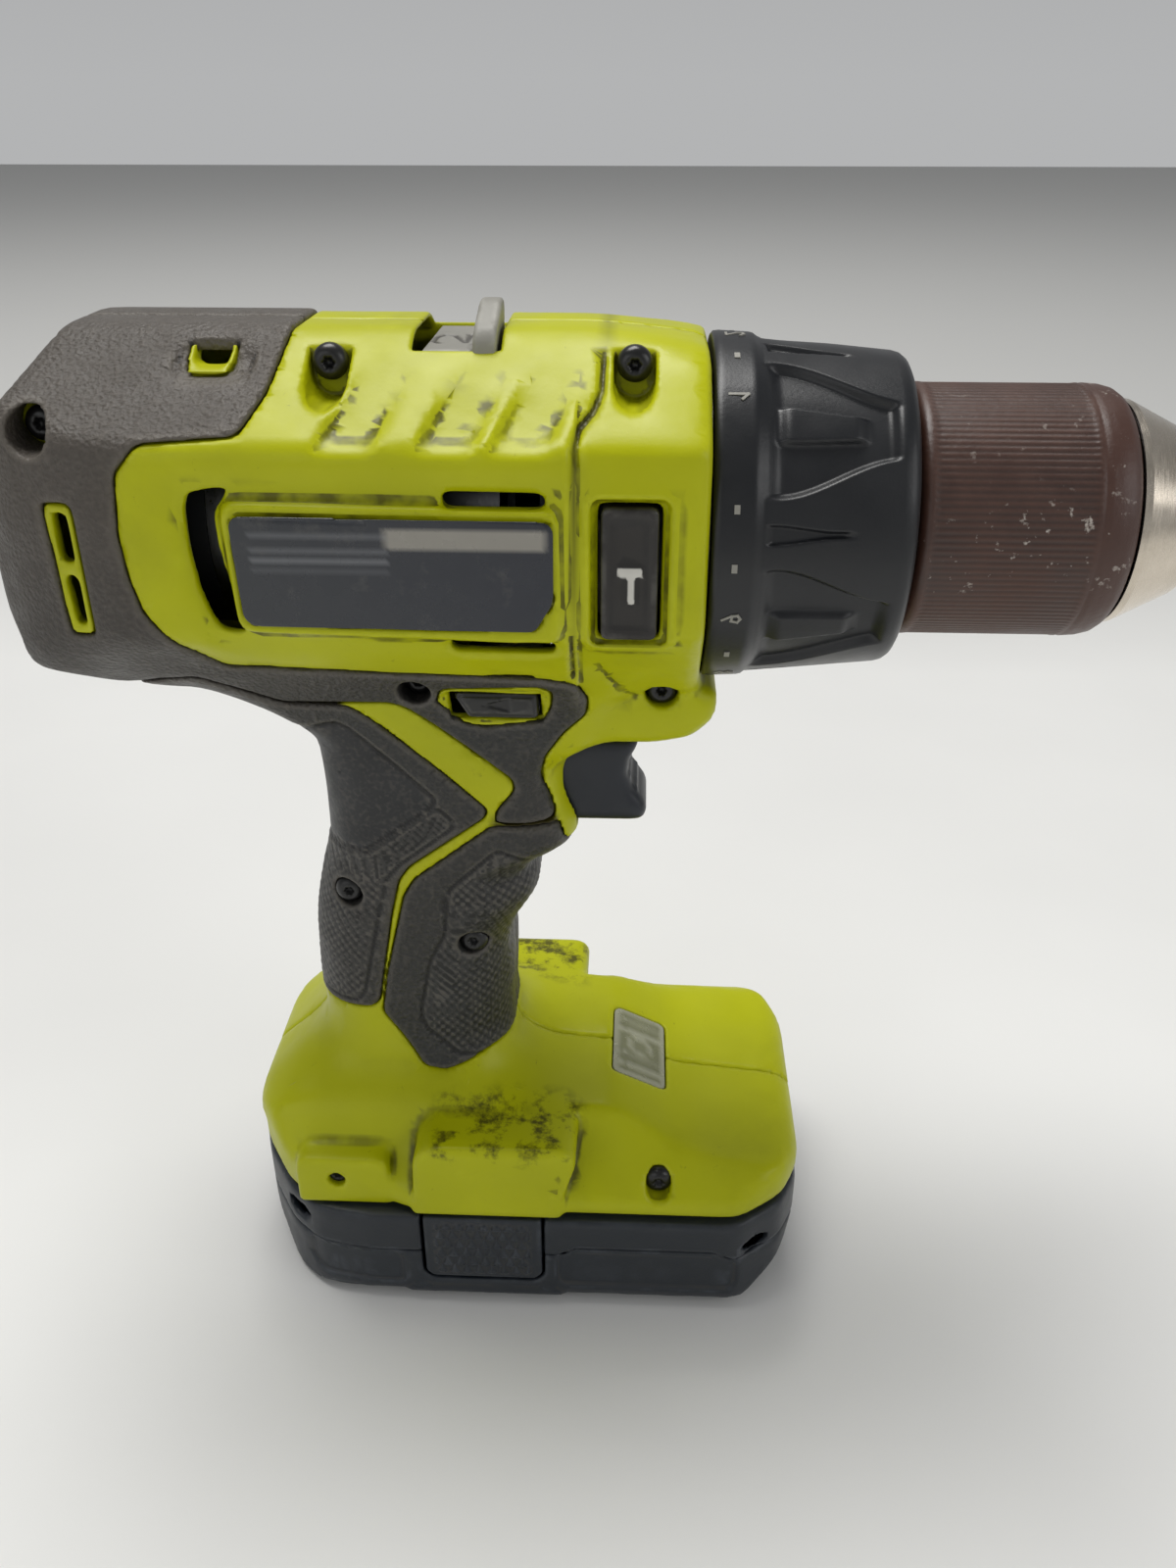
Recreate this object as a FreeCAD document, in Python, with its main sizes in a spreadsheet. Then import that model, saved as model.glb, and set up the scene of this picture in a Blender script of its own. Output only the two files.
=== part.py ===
"""Cordless hammer drill with a keyless chuck and a stem battery, as a parametric assembly.

Frame: +X points forward along the spindle, +Y to the user's left, +Z up. The origin is on the
battery's foot, in the middle of its length, in the plane where the two housing halves meet.
All sizes are millimetres.
"""
import FreeCAD, Part
import Sketcher
import math
import os

doc = FreeCAD.newDocument("cordless_drill")

# ------------------------------------------------------------------ driving dimensions
SIZES = [
    ("spindle_height", 163.5, "spindle axis above the foot"),
    ("housing_wall", 2.8, "wall of the moulded halves"),
    ("skin", 1.4, "thickness of the soft overmould"),
    ("rear_end", -85.5, "rearmost point of the body"),
    ("body_front", 33.5, "front plane of the body"),
    ("body_top", 195.5, "top of the body"),
    ("body_half_width", 33.0, "half width of the main body"),
    ("nose_half_width", 31.0, "half width ahead of the groove"),
    ("groove_x", 12.0, "groove between main body and nose block"),
    ("base_half_length", 59.5, "half length of the base"),
    ("base_half_width", 36.5, "half width of the base"),
    ("base_bottom", 25.2, "underside of the base, on top of the pack"),
    ("shaft_radius", 2.5, "armature shaft"),
    ("can_radius", 21.3, "motor can, outside"),
    ("can_wall", 2.0, "motor can wall"),
    ("can_rear", -48.0, "rear edge of the motor can"),
    ("can_front", 0.0, "front face of the motor can"),
    ("core_radius", 15.8, "armature laminations"),
    ("commutator_radius", 7.5, "commutator"),
    ("commutator_rear", -60.0, "rear edge of the commutator"),
    ("fan_radius", 18.0, "cooling fan"),
    ("gear_module", 0.75, "module of every gear"),
    ("sun_teeth", 12, "teeth of the pinion and of the second sun"),
    ("planet_teeth", 18, "teeth of each planet"),
    ("ring_teeth", 48, "teeth of each ring gear"),
    ("gear_width", 7.2, "face width of the gears"),
    ("first_stage", 8.5, "rear face of the first ring gear"),
    ("second_stage", 19.0, "rear face of the second ring gear"),
    ("planet_pin_radius", 1.6, "planet pins"),
    ("running_gap", 0.05, "radial gap of a running fit"),
    ("case_radius", 22.5, "gear case, outside"),
    ("case_front", 33.2, "front of the gear case barrel"),
    ("neck_radius", 14.0, "gear case neck, outside"),
    ("neck_front", 62.0, "front end of the neck"),
    ("bearing_radius", 11.8, "spindle bearings, outside"),
    ("spindle_radius", 6.0, "output spindle"),
    ("collar_rear", 33.9, "rear edge of the torque collar"),
    ("collar_front", 66.5, "front edge of the torque collar"),
    ("collar_radius", 29.5, "torque collar at its rear"),
    ("collar_front_radius", 26.6, "torque collar at its front"),
    ("chuck_rear", 67.5, "rear edge of the chuck sleeve"),
    ("sleeve_length", 35.5, "length of the chuck sleeve"),
    ("sleeve_radius", 21.5, "chuck sleeve, outside"),
    ("nose_tip", 116.0, "front face of the chuck"),
    ("chuck_bore", 6.75, "radius of the open chuck, 13 mm capacity"),
    ("jaw_radius", 2.8, "chuck jaws"),
    ("jaw_angle", 15.0, "slant of the jaws to the axis, degrees"),
    ("jaw_length", 24.0, "length of a jaw"),
    ("trigger_half_width", 8.0, "half width of the trigger"),
    ("selector_half_length", 19.8, "half length of the direction selector bar"),
    ("pack_half_length", 59.5, "half length of the battery pack"),
    ("pack_half_width", 37.0, "half width of the battery pack"),
    ("pack_wall", 1.6, "wall of the pack's case"),
    ("pack_seam", 14.0, "height of the seam of the pack's case"),
    ("stem_x", -23.0, "middle of the pack's stem"),
    ("stem_half", 10.6, "half width of the stem"),
    ("stem_top", 73.0, "top of the stem"),
    ("cell_radius", 9.1, "battery cell"),
    ("cell_length", 65.0, "battery cell"),
    ("screw_radius", 1.9, "housing screws"),
    ("screw_head_radius", 3.4, "housing screw heads"),
]

sheet = doc.addObject("Spreadsheet::Sheet", "dim")
for row, (alias, value, note) in enumerate(SIZES, start=1):
    sheet.set(f"A{row}", note)
    sheet.set(f"B{row}", str(value))
    sheet.setAlias(f"B{row}", alias)
doc.recompute()

X_AXIS = FreeCAD.Vector(1, 0, 0)
Y_AXIS = FreeCAD.Vector(0, 1, 0)
Z_AXIS = FreeCAD.Vector(0, 0, 1)
ALONG_X = FreeCAD.Rotation(Y_AXIS, 90)
UPRIGHT = FreeCAD.Rotation()

pieces = {}


def val(text):
    """The number that an expression such as "dim.can_radius - 2" stands for."""
    return float(sheet.evalExpression(str(text)))


SPINDLE = val("dim.spindle_height")


# ------------------------------------------------------------------ parametric builders
def keep(node, item):
    """Registers an object as the sub-part called node."""
    item.Label = node
    pieces[node] = item
    return item


def place(item, x, y, z, rotation=UPRIGHT):
    """Puts an object at a position given by three expressions."""
    item.Placement = FreeCAD.Placement(FreeCAD.Vector(val(x), val(y), val(z)), rotation)
    for letter, text in (("x", x), ("y", y), ("z", z)):
        item.setExpression(f"Placement.Base.{letter}", str(text))
    return item


def bind(item, **sizes):
    """Binds properties of an object to expressions."""
    for name, text in sizes.items():
        item.setExpression(name, str(text))
    return item


def rod(name, x, length, radius, y="0", z="dim.spindle_height", rotation=ALONG_X):
    """A cylinder, along X unless another rotation is given."""
    item = doc.addObject("Part::Cylinder", name)
    bind(item, Radius=radius, Height=length)
    return place(item, x, y, z, rotation)


def block(name, x, y, z, length, width, height):
    """A box from its lowest corner."""
    item = doc.addObject("Part::Box", name)
    bind(item, Length=length, Width=width, Height=height)
    return place(item, x, y, z)


def joined(name, *items):
    """Several objects fused into one."""
    item = doc.addObject("Part::MultiFuse", name)
    item.Shapes = list(items)
    return item


def minus(name, base, *tools):
    """An object with others cut out of it, one after another."""
    for number, tool in enumerate(tools, start=1):
        item = doc.addObject("Part::Cut", name if number == len(tools) else f"{name}_cut{number}")
        item.Base = base
        item.Tool = tool
        base = item
    return base


def outline(body, plane, points):
    """A closed sketch with every corner tied to two expressions."""
    sketch = body.newObject("Sketcher::SketchObject", body.Name + "_outline")
    origin_plane = next(item for item in body.Origin.OriginFeatures if item.Role == plane)
    sketch.AttachmentSupport = [(origin_plane, "")]
    sketch.MapMode = "FlatFace"
    corners = [FreeCAD.Vector(val(a), val(b), 0) for a, b in points]
    count = len(corners)
    for index, corner in enumerate(corners):
        sketch.addGeometry(Part.LineSegment(corner, corners[(index + 1) % count]), False)
    for index in range(count):
        follower = (index + 1) % count
        sketch.addConstraint(Sketcher.Constraint("Coincident", index, 2, follower, 1))
    for index, texts in enumerate(points):
        for kind, text in zip(("DistanceX", "DistanceY"), texts):
            number = sketch.addConstraint(Sketcher.Constraint(kind, -1, 1, index, 1, val(text)))
            sketch.setExpression(f"Constraints[{number}]", str(text))
    return sketch


def turned(name, x, profile):
    """A body of revolution about the spindle axis; the profile is (along, radius) pairs."""
    body = doc.addObject("PartDesign::Body", name)
    sketch = outline(body, "XZ_Plane", profile)
    turn = body.newObject("PartDesign::Revolution", name + "_turn")
    turn.Profile = sketch
    turn.ReferenceAxis = (sketch, ["H_Axis"])
    turn.Angle = 360
    return place(body, x, "0", "dim.spindle_height")


def tube(name, x, length, outer, inner):
    """A plain ring about the spindle axis."""
    return turned(name, x, [("0", inner), (length, inner), (length, outer), ("0", outer)])


def slab(name, points, half_width, y="0"):
    """A side profile of (x, z) pairs, padded to both sides of the plane y."""
    body = doc.addObject("PartDesign::Body", name)
    sketch = outline(body, "XZ_Plane", points)
    pad = body.newObject("PartDesign::Pad", name + "_pad")
    pad.Profile = sketch
    pad.Midplane = True
    pad.setExpression("Length", f"2 * ({half_width})")
    return place(body, "0", y, "0")


def solid(node, shape):
    """A sub-part whose free-form shape comes from the functions below."""
    item = doc.addObject("Part::Feature", node)
    item.Shape = shape
    return keep(node, item)


# ------------------------------------------------------------------ shape functions
def vec(x, y, z):
    return FreeCAD.Vector(x, y, z)


def polygon(points, inset=0.0):
    """A closed wire through the points, moved inwards by inset."""
    wire = Part.makePolygon(points + points[:1])
    if inset == 0:
        return wire
    return wire.makeOffset2D(-inset, 2, False, False, True)


def side_prism(points, half_width, inset=0.0):
    """A side profile of (x, z) pairs extruded across the drill."""
    wire = polygon([vec(x, -half_width + inset, z) for x, z in points], inset)
    return Part.Face(wire).extrude(vec(0, 2 * (half_width - inset), 0))


def front_prism(points, start, end, inset=0.0):
    """A cross-section of (y, z) pairs extruded along the drill."""
    wire = polygon([vec(start, y, z) for y, z in points], inset)
    return Part.Face(wire).extrude(vec(end - start, 0, 0))


def mirrored(points):
    """Half an outline with its mirror image in the plane y = 0 added."""
    return points + [(-y, z) for y, z in reversed(points)]


def rounded_section(x0, x1, half_width, radius, z):
    """A rectangle with round corners in a level plane."""
    radius = min(radius, half_width - 0.4, (x1 - x0) / 2 - 0.4)
    slope = radius * (1 - math.sqrt(0.5))
    corners = [
        (x0, half_width, 1, -1),
        (x1, half_width, -1, -1),
        (x1, -half_width, -1, 1),
        (x0, -half_width, 1, 1),
    ]
    arcs = []
    for number, (x, y, dx, dy) in enumerate(corners):
        along_x = vec(x + dx * radius, y, z)
        along_y = vec(x, y + dy * radius, z)
        middle = vec(x + dx * slope, y + dy * slope, z)
        ends = (along_y, along_x) if number % 2 == 0 else (along_x, along_y)
        arcs.append((ends[0], middle, ends[1]))
    edges = []
    for number, (start, middle, end) in enumerate(arcs):
        edges.append(Part.Arc(start, middle, end).toShape())
        edges.append(Part.LineSegment(end, arcs[(number + 1) % 4][0]).toShape())
    return Part.Wire(edges)


def level_loft(sections, inset=0.0):
    """A loft through level sections of (z, x0, x1, half_width, radius)."""
    wires = [
        rounded_section(x0 + inset, x1 - inset, half_width - inset, radius - inset, z)
        for z, x0, x1, half_width, radius in sections
    ]
    return Part.makeLoft(wires, True, True)


def cylinder(radius, length, start, direction=X_AXIS):
    return Part.makeCylinder(radius, length, start, direction)


def washer(outer, inner, x, length):
    """A plain ring about the spindle axis, as a bare shape."""
    start = vec(x, 0, SPINDLE)
    return cylinder(outer, length, start).cut(cylinder(inner, length, start))


def gear_outline(teeth, addendum, dedendum, play, x, turn):
    """A gear's toothed outline in the plane x, with involute flanks of 20 degrees."""
    module = val("dim.gear_module")
    pitch = teeth * module / 2
    base = pitch * math.cos(math.radians(20))
    tip = pitch + addendum * module
    root = pitch - dedendum * module

    def involute(radius):
        roll = math.sqrt(max((radius / base) ** 2 - 1, 0))
        return roll - math.atan(roll)

    half_tooth = math.pi / (2 * teeth) - play / (2 * pitch) + involute(pitch)
    start = max(base, root)
    flank = [start + (tip - start) * step / 4 for step in range(5)]
    profile = [(radius, half_tooth - involute(radius)) for radius in flank]
    if root < base:
        profile.insert(0, (root, profile[0][1]))
    points = []
    for tooth in range(teeth):
        middle = turn + 2 * math.pi * tooth / teeth
        both_flanks = [(r, middle - a) for r, a in profile] + [(r, middle + a) for r, a in reversed(profile)]
        points += [vec(x, r * math.cos(a), SPINDLE + r * math.sin(a)) for r, a in both_flanks]
    return Part.makePolygon(points + points[:1])


def toothed(teeth, x, width, turn=0.0):
    """A solid spur gear on the spindle axis."""
    wire = gear_outline(teeth, 0.8, 1.0, 0.06, x, turn)
    return Part.Face(wire).extrude(vec(width, 0, 0))


# ------------------------------------------------------------------ housing
BODY_SIDE = [
    (-71, 136.5), (-82, 142), (val("dim.rear_end"), 152), (val("dim.rear_end"), 161),
    (-82.5, 174), (-77, 186), (-70.5, val("dim.body_top")), (14, val("dim.body_top")),
    (val("dim.body_front"), 192.8), (val("dim.body_front"), 133.6), (-60, 133.6),
]
BODY_SECTION = [(14, 133), (24, 141), (33, 151), (33, 181), (17, 190.2), (8, 195.5)]
HANDLE = [
    (40, -54, 5, 24, 12), (48, -47, -1.5, 18.5, 12), (55, -42.5, -3.4, 16.6, 11),
    (68, -42.4, -2.6, 16.3, 11), (80, -41.8, 0.6, 16.3, 11), (91, -39.7, 3.2, 16.5, 11),
    (97, -37.6, 9.5, 16.6, 11), (101, -37, 12.2, 16.6, 10), (104, -36.9, 10.5, 16.6, 10),
    (113, -36.9, 6.2, 16.6, 10), (119, -37, 8.2, 16.8, 9), (124, -37.2, 14, 17.2, 8),
    (130, -45, 17, 18.2, 8), (141, -60, 22, 21, 8),
]
BASE_SIDE = [
    (-59.5, 25.2), (59.5, 25.2), (59.5, 31.5), (55, 34.2), (33, 36.6), (19.5, 43.2),
    (1, 44), (-46, 44), (-54, 39.5), (-59.5, 30),
]
BASE_SECTION = [(36.5, 25.2), (36.5, 30.5), (33, 42.5), (27, 44), (0.1, 44.2)]
CHIN_SIDE = [
    (11, 141), (11, 122.2), (25.5, 121.9), (33, 123.4), (37.3, 127.5), (37.5, 133.3),
    (33.4, 133.3), (33.4, 141),
]


def section(half_width):
    """The body's cross-section, for either of its two half widths."""
    change = half_width - val("dim.body_half_width")
    points = [(y + change if y > 20 else y, z) for y, z in BODY_SECTION]
    return mirrored(points)


def housing_volume(inset):
    """The whole outer form of the housing, or the same form moved inwards."""
    half_width = val("dim.body_half_width")
    nose_width = val("dim.nose_half_width")
    groove = val("dim.groove_x")
    side = side_prism(BODY_SIDE, half_width, inset)
    main = side.common(front_prism(section(half_width), -90, groove, inset))
    nose = side.common(front_prism(section(nose_width), groove, 40, inset))
    handle = level_loft(HANDLE, inset)
    base_bottom = val("dim.base_bottom")
    base_plan = rounded_section(
        -val("dim.base_half_length") + inset, val("dim.base_half_length") - inset,
        val("dim.base_half_width") - inset, 14 - inset, base_bottom - 1,
    )
    base = side_prism(BASE_SIDE, 40, inset)
    base = base.common(front_prism(mirrored(BASE_SECTION), -62, 62, inset))
    base = base.common(Part.Face(base_plan).extrude(vec(0, 0, 30)))
    chin = side_prism(CHIN_SIDE, 13, inset)
    return main.fuse([nose, handle, base, chin])


# side outlines of the soft overmould: the body's cap and neck, and the two grips of the handle
BODY_SKIN_SIDE = [
    (-90, 199), (-32.4, 199), (-35.3, 187), (-38.3, 182.2), (-53.5, 181.2), (-57.3, 177),
    (-57.6, 165), (-56.5, 154.7), (-52.8, 149.7), (-46.6, 143.2), (-18.6, 141.8), (6, 141),
    (12.2, 139.6), (14.4, 135.3), (14, 131), (9.9, 127.2), (6.5, 122), (5.4, 117.1), (6.7, 112.5),
    (8.3, 107.2), (-4, 107.2), (-3, 110.3), (0.4, 114.6), (0, 116.8), (-17.9, 132.2),
    (-20.4, 133.5), (-39.6, 134), (-53, 140.3), (-67, 136.2), (-72, 130), (-90, 130),
]
REAR_GRIP_SIDE = [
    (-67, 135.4), (-53, 139.4), (-39.6, 133), (-28.9, 132.6), (-26.5, 130.9), (-4.9, 110.3),
    (-5.3, 108.7), (-20.4, 97.4), (-22.7, 94.1), (-24.8, 85.5), (-28.6, 64.7), (-30.2, 63.2),
    (-60, 61.5), (-70, 120),
]
FRONT_GRIP_SIDE = [
    (-3.9, 106.6), (8.3, 106.4), (9.4, 101.5), (14, 98), (14, 50.5), (-5.8, 50), (-14.6, 46.8),
    (-19.2, 47.6), (-27.9, 61.9), (-26.4, 71.2), (-21.7, 90.2), (-19.3, 94.4),
]
SCREWS = [
    # x, z, y of the head's underside
    (-71.5, 182.3, -20), (-26.7, 190.6, -13), (21.4, 190.6, -13), (-15.6, 137.4, -14),
    (27.2, 133.2, -9), (-32.8, 90.5, -12), (-8.9, 79.2, -12), (29.2, 31.7, -29), (-37, 31.3, -29),
]
outer_form = housing_volume(0)
under_skin = housing_volume(val("dim.skin"))
cavity = housing_volume(val("dim.housing_wall"))
skin_region = side_prism(BODY_SKIN_SIDE, 45)
grip_region = side_prism(REAR_GRIP_SIDE, 45).fuse(side_prism(FRONT_GRIP_SIDE, 45))
skin_band = outer_form.cut(under_skin)

wall_openings = [
    # spindle side of the body: the gear case and its neck pass through the front wall
    cylinder(val("dim.case_radius") + 0.1, 30, vec(10, 0, SPINDLE)),
    # trigger slot in the front of the handle
    Part.makeBox(50, 17, 22.4, vec(-12, -8.5, 102.2)).cut(Part.makeBox(40, 20, 4, vec(11, -10, 121.6))),
    # direction selector, through both sides
    Part.makeBox(15.9, 60, 5.9, vec(-10.05, -30, 130.3)),
    # speed selector slot in the top, and the space under the wall that the selector slides into
    Part.makeBox(12.8, 26, 10, vec(-13.2, -13, 188)),
    Part.makeBox(8.6, 26, 3.9, vec(-21.7, -13, 188)),
    # mode button windows in both sides
    Part.makeBox(9.9, 80, 22.4, vec(16.2, -40, 150.4)),
    # socket for the battery's stem, and its latch tongues
    Part.makeBox(2 * val("dim.stem_half") + 0.8, 2 * val("dim.stem_half") + 0.8, 60,
                 vec(val("dim.stem_x - dim.stem_half") - 0.4, -val("dim.stem_half") - 0.4, 20)),
    Part.makeBox(12.8, 80, 6.6, vec(-13.4, -40, 24.8)).cut(Part.makeBox(20, 65, 10, vec(-16, -32.5, 24))),
    # lens window in the sloping front of the base
    Part.makeBox(15, 19, 14, vec(18.6, -9.5, 33.5)),
]
# air outlets at the rear, air inlets behind, above and below the side panels
for x, z, length, height in ((-71.0, 151.5, 2.2, 20), (-67.2, 151.5, 2.2, 20), (-47.4, 153, 3.4, 19.5),
                             (-7.1, 174.2, 15, 2.4), (-6.8, 147.6, 15.6, 2.2)):
    wall_openings.append(Part.makeBox(length, 80, height, vec(x, -40, z)))

screw_posts = []
screw_holes = []
head_pockets = []
for x, z, y_head in SCREWS:
    screw_posts.append(cylinder(4.2, 60, vec(x, -30, z), Y_AXIS))
    screw_holes.append(cylinder(val("dim.screw_radius") + 0.02, 28.2, vec(x, y_head - 0.1, z), Y_AXIS))
    head_pockets.append(cylinder(val("dim.screw_head_radius") + 0.5, 40, vec(x, y_head - 40, z), Y_AXIS))

# bearing seats and cradles that carry the motor and the gear case
cradles = [
    Part.makeBox(4, 60, 60, vec(-69.5, -30, SPINDLE - 30)).cut(cylinder(8, 10, vec(-72, 0, SPINDLE))),
    Part.makeBox(3, 60, 60, vec(-30, -30, SPINDLE - 30)).cut(
        cylinder(val("dim.can_radius") + 0.1, 10, vec(-33, 0, SPINDLE))),
    Part.makeBox(3, 60, 60, vec(28, -30, SPINDLE - 30)).cut(
        cylinder(val("dim.case_radius") + 0.1, 10, vec(26, 0, SPINDLE))),
]
inside = [part.common(cavity) for part in screw_posts[:7] + cradles]
# moulded ribs across the hollow base
RIB = 1.6
RIB_PITCH = 7.6
base_ribs = []
for number in range(15):
    rib = Part.makeBox(RIB, 80, 18, vec(-55 + RIB_PITCH * number, -40, val("dim.base_bottom")))
    base_ribs.append(rib)
board_space = Part.makeBox(12, 16, 5, vec(15, -8, 31))
inside += [rib.cut(board_space).common(cavity) for rib in base_ribs]
posts_in_base = [
    cylinder(4.2, 62, vec(x, -31, z), Y_AXIS).common(cavity) for x, z, _ in SCREWS[7:]
]
groove = front_prism(mirrored([(40, 120), (40, 200), (0.1, 200)]), val("dim.groove_x"), 13.4)
groove = groove.cut(front_prism(section(val("dim.nose_half_width") - 1), 11, 15, 0.9))
groove = groove.cut(Part.makeBox(30, 30, 30, vec(0, -15, 115)))

shell = outer_form.cut(skin_band.common(skin_region)).cut(skin_band.common(grip_region)).cut(cavity)
shell = shell.fuse(inside + posts_in_base).cut(wall_openings + screw_holes + head_pockets + [groove])
base_floor = Part.makeBox(200, 100, 10, vec(-100, -50, val("dim.base_bottom") - 10))
shell = shell.cut(base_floor)
body_skin = skin_band.common(skin_region).cut(wall_openings + screw_holes + head_pockets)
handle_skin = skin_band.common(grip_region).cut(wall_openings + screw_holes + head_pockets)

right_side = Part.makeBox(300, 100, 300, vec(-150, -100, -20))
left_side = Part.makeBox(300, 100, 300, vec(-150, 0, -20))
SMALLEST_PIECE = 100
for hand, side in (("right", right_side), ("left", left_side)):
    for node, whole in (("housing", shell), ("overmold", body_skin), ("handle_grip", handle_skin)):
        halves = [item for item in whole.common(side).Solids if item.Volume > SMALLEST_PIECE]
        solid(f"{node}_{hand}", halves[0] if len(halves) == 1 else Part.makeCompound(halves))

# housing screws: pan heads on the right, shanks along Y
screw_shapes = []
for x, z, y_head in SCREWS:
    shank = cylinder(val("dim.screw_radius"), 24, vec(x, y_head, z), Y_AXIS)
    head = cylinder(val("dim.screw_head_radius"), 2.4, vec(x, y_head - 2.4, z), Y_AXIS)
    socket = Part.makeBox(1.2, 1.4, 4, vec(x - 0.6, y_head - 2.5, z - 2))
    screw_shapes.append(head.fuse(shank).cut(socket))
solid("housing_screws", Part.makeCompound(screw_shapes))

# raised badge panels on both flanks
PANEL = [(-41.2, 152.2), (9.8, 150.8), (9.9, 172.8), (-41.6, 173.2)]
panels = []
for hand in (-1, 1):
    face = Part.Face(polygon([vec(x, hand * 33.05, z) for x, z in PANEL]))
    plate = face.extrude(vec(0, hand * 0.9, 0))
    panels.append(plate)
solid("side_panels", Part.makeCompound(panels))

# ------------------------------------------------------------------ motor
keep("motor_can", turned("motor_can", "dim.can_rear", [
    ("0", "dim.can_radius - dim.can_wall"),
    ("dim.can_front - dim.can_rear - 2", "dim.can_radius - dim.can_wall"),
    ("dim.can_front - dim.can_rear - 2", "7.2"),
    ("dim.can_front - dim.can_rear", "7.2"),
    ("dim.can_front - dim.can_rear", "dim.can_radius"),
    ("0", "dim.can_radius"),
]))

magnets = []
magnet_ring = washer(val("dim.can_radius - dim.can_wall"), val("dim.core_radius") + 0.5, -44, 36)
for quarter in range(4):
    wedge = Part.makeCylinder(30, 36, vec(-44, 0, SPINDLE), X_AXIS, 74)
    wedge.rotate(vec(0, 0, SPINDLE), X_AXIS, 90 * quarter + 8)
    magnets.append(magnet_ring.common(wedge))
solid("motor_magnets", Part.makeCompound(magnets))

keep("brush_holder", minus(
    "brush_holder",
    tube("end_bell", "-64", "15.8", "dim.can_radius - 0.2", "10.5"),
    block("brush_tunnel", "-58.2", "-25", "dim.spindle_height - 3.2", "7.2", "50", "6.4"),
))
brushes = []
for hand in (-1, 1):
    start = hand * (val("dim.commutator_radius") + 0.1) - (9 if hand < 0 else 0)
    brushes.append(Part.makeBox(6.8, 9, 6, vec(-58, start, SPINDLE - 3)))
solid("carbon_brushes", Part.makeCompound(brushes))

MOTOR_BEARINGS = [(-69.5, 7.2), (-6.2, 7.0)]  # rear face and outer radius
bearing_rings = []
for x, outer in MOTOR_BEARINGS:
    bearing_rings.append(washer(outer, val("dim.shaft_radius + dim.running_gap"), x, 4))
solid("motor_bearings", Part.makeCompound(bearing_rings))

keep("armature_shaft", rod("armature_shaft", "-70.5", "86.3", "dim.shaft_radius"))
core = washer(val("dim.core_radius"), val("dim.shaft_radius"), -42, 30)
for slot in range(9):
    channel = Part.makeBox(30, 2.4, 7, vec(-42, -1.2, SPINDLE + 8.2))
    mouth = Part.makeBox(30, 1.2, 3, vec(-42, -0.6, SPINDLE + 14))
    for cutter in (channel, mouth):
        cutter.rotate(vec(0, 0, SPINDLE), X_AXIS, 40 * slot)
        core = core.cut(cutter)
solid("armature_core", core)

winding = []
for x, length in ((-47.9, 5.8), (-11.9, 5)):
    bundle = washer(14.2, val("dim.shaft_radius"), x, length)
    winding.append(bundle.makeFillet(1.6, [e for e in bundle.Edges if abs(e.BoundBox.YLength - 28.4) < 0.1]))
solid("armature_windings", Part.makeCompound(winding))

segments = washer(val("dim.commutator_radius"), val("dim.shaft_radius"), val("dim.commutator_rear"), 11)
for slot in range(18):
    saw_cut = Part.makeBox(11, 0.5, 1.2, vec(val("dim.commutator_rear"), -0.25, SPINDLE + 6.6))
    saw_cut.rotate(vec(0, 0, SPINDLE), X_AXIS, 20 * slot)
    segments = segments.cut(saw_cut)
solid("commutator", segments)

fan = cylinder(val("dim.fan_radius"), 1.2, vec(1, 0, SPINDLE)).fuse(cylinder(5, 5, vec(1, 0, SPINDLE)))
for blade in range(11):
    vane = Part.makeBox(4.4, 1, 10.5, vec(1.6, -0.5, SPINDLE + 7))
    vane.rotate(vec(0, 0, SPINDLE), X_AXIS, 360 * blade / 11)
    fan = fan.fuse(vane)
solid("cooling_fan", fan.cut(cylinder(val("dim.shaft_radius"), 8, vec(0, 0, SPINDLE))))

# ------------------------------------------------------------------ planetary gears
SUN = int(val("dim.sun_teeth"))
PLANET = int(val("dim.planet_teeth"))
RING = int(val("dim.ring_teeth"))
PLANET_ORBIT = (SUN + PLANET) * val("dim.gear_module") / 2
GEAR_WIDTH = val("dim.gear_width")

pinion = toothed(SUN, val("dim.first_stage"), GEAR_WIDTH)
solid("motor_pinion", pinion.cut(cylinder(val("dim.shaft_radius"), 20, vec(5, 0, SPINDLE))))

rings = []
for stage in ("dim.first_stage", "dim.second_stage"):
    x = val(stage)
    blank = cylinder(val("dim.case_radius - 2"), GEAR_WIDTH, vec(x, 0, SPINDLE))
    space = Part.Face(gear_outline(RING, 1.0, 0.8, -0.06, x, math.pi / RING)).extrude(vec(GEAR_WIDTH, 0, 0))
    rings.append(blank.cut(space))
solid("ring_gears", Part.makeCompound(rings))


def planet_place(number):
    """Direction of a planet from the axis, and the turn that puts it in mesh, in radians."""
    direction = 2 * math.pi * number / 3
    return direction, direction + math.pi + (SUN * direction - math.pi) / PLANET


pin_hole = val("dim.planet_pin_radius + dim.running_gap")
for stage in ("first", "second"):
    x = val(f"dim.{stage}_stage") + 0.2
    for number in range(3):
        direction, turn = planet_place(number)
        gear = toothed(PLANET, x, GEAR_WIDTH - 0.6, turn)
        gear = gear.cut(cylinder(pin_hole, GEAR_WIDTH, vec(x, 0, SPINDLE)))
        gear.translate(vec(0, PLANET_ORBIT * math.cos(direction), PLANET_ORBIT * math.sin(direction)))
        solid(f"planet_{stage}_{number + 1}", gear)


def planet_pins(x, length):
    """The three pins of a planet carrier."""
    pins = []
    for number in range(3):
        direction, _ = planet_place(number)
        centre = vec(x, PLANET_ORBIT * math.cos(direction), SPINDLE + PLANET_ORBIT * math.sin(direction))
        pins.append(cylinder(val("dim.planet_pin_radius"), length, centre))
    return pins


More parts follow.
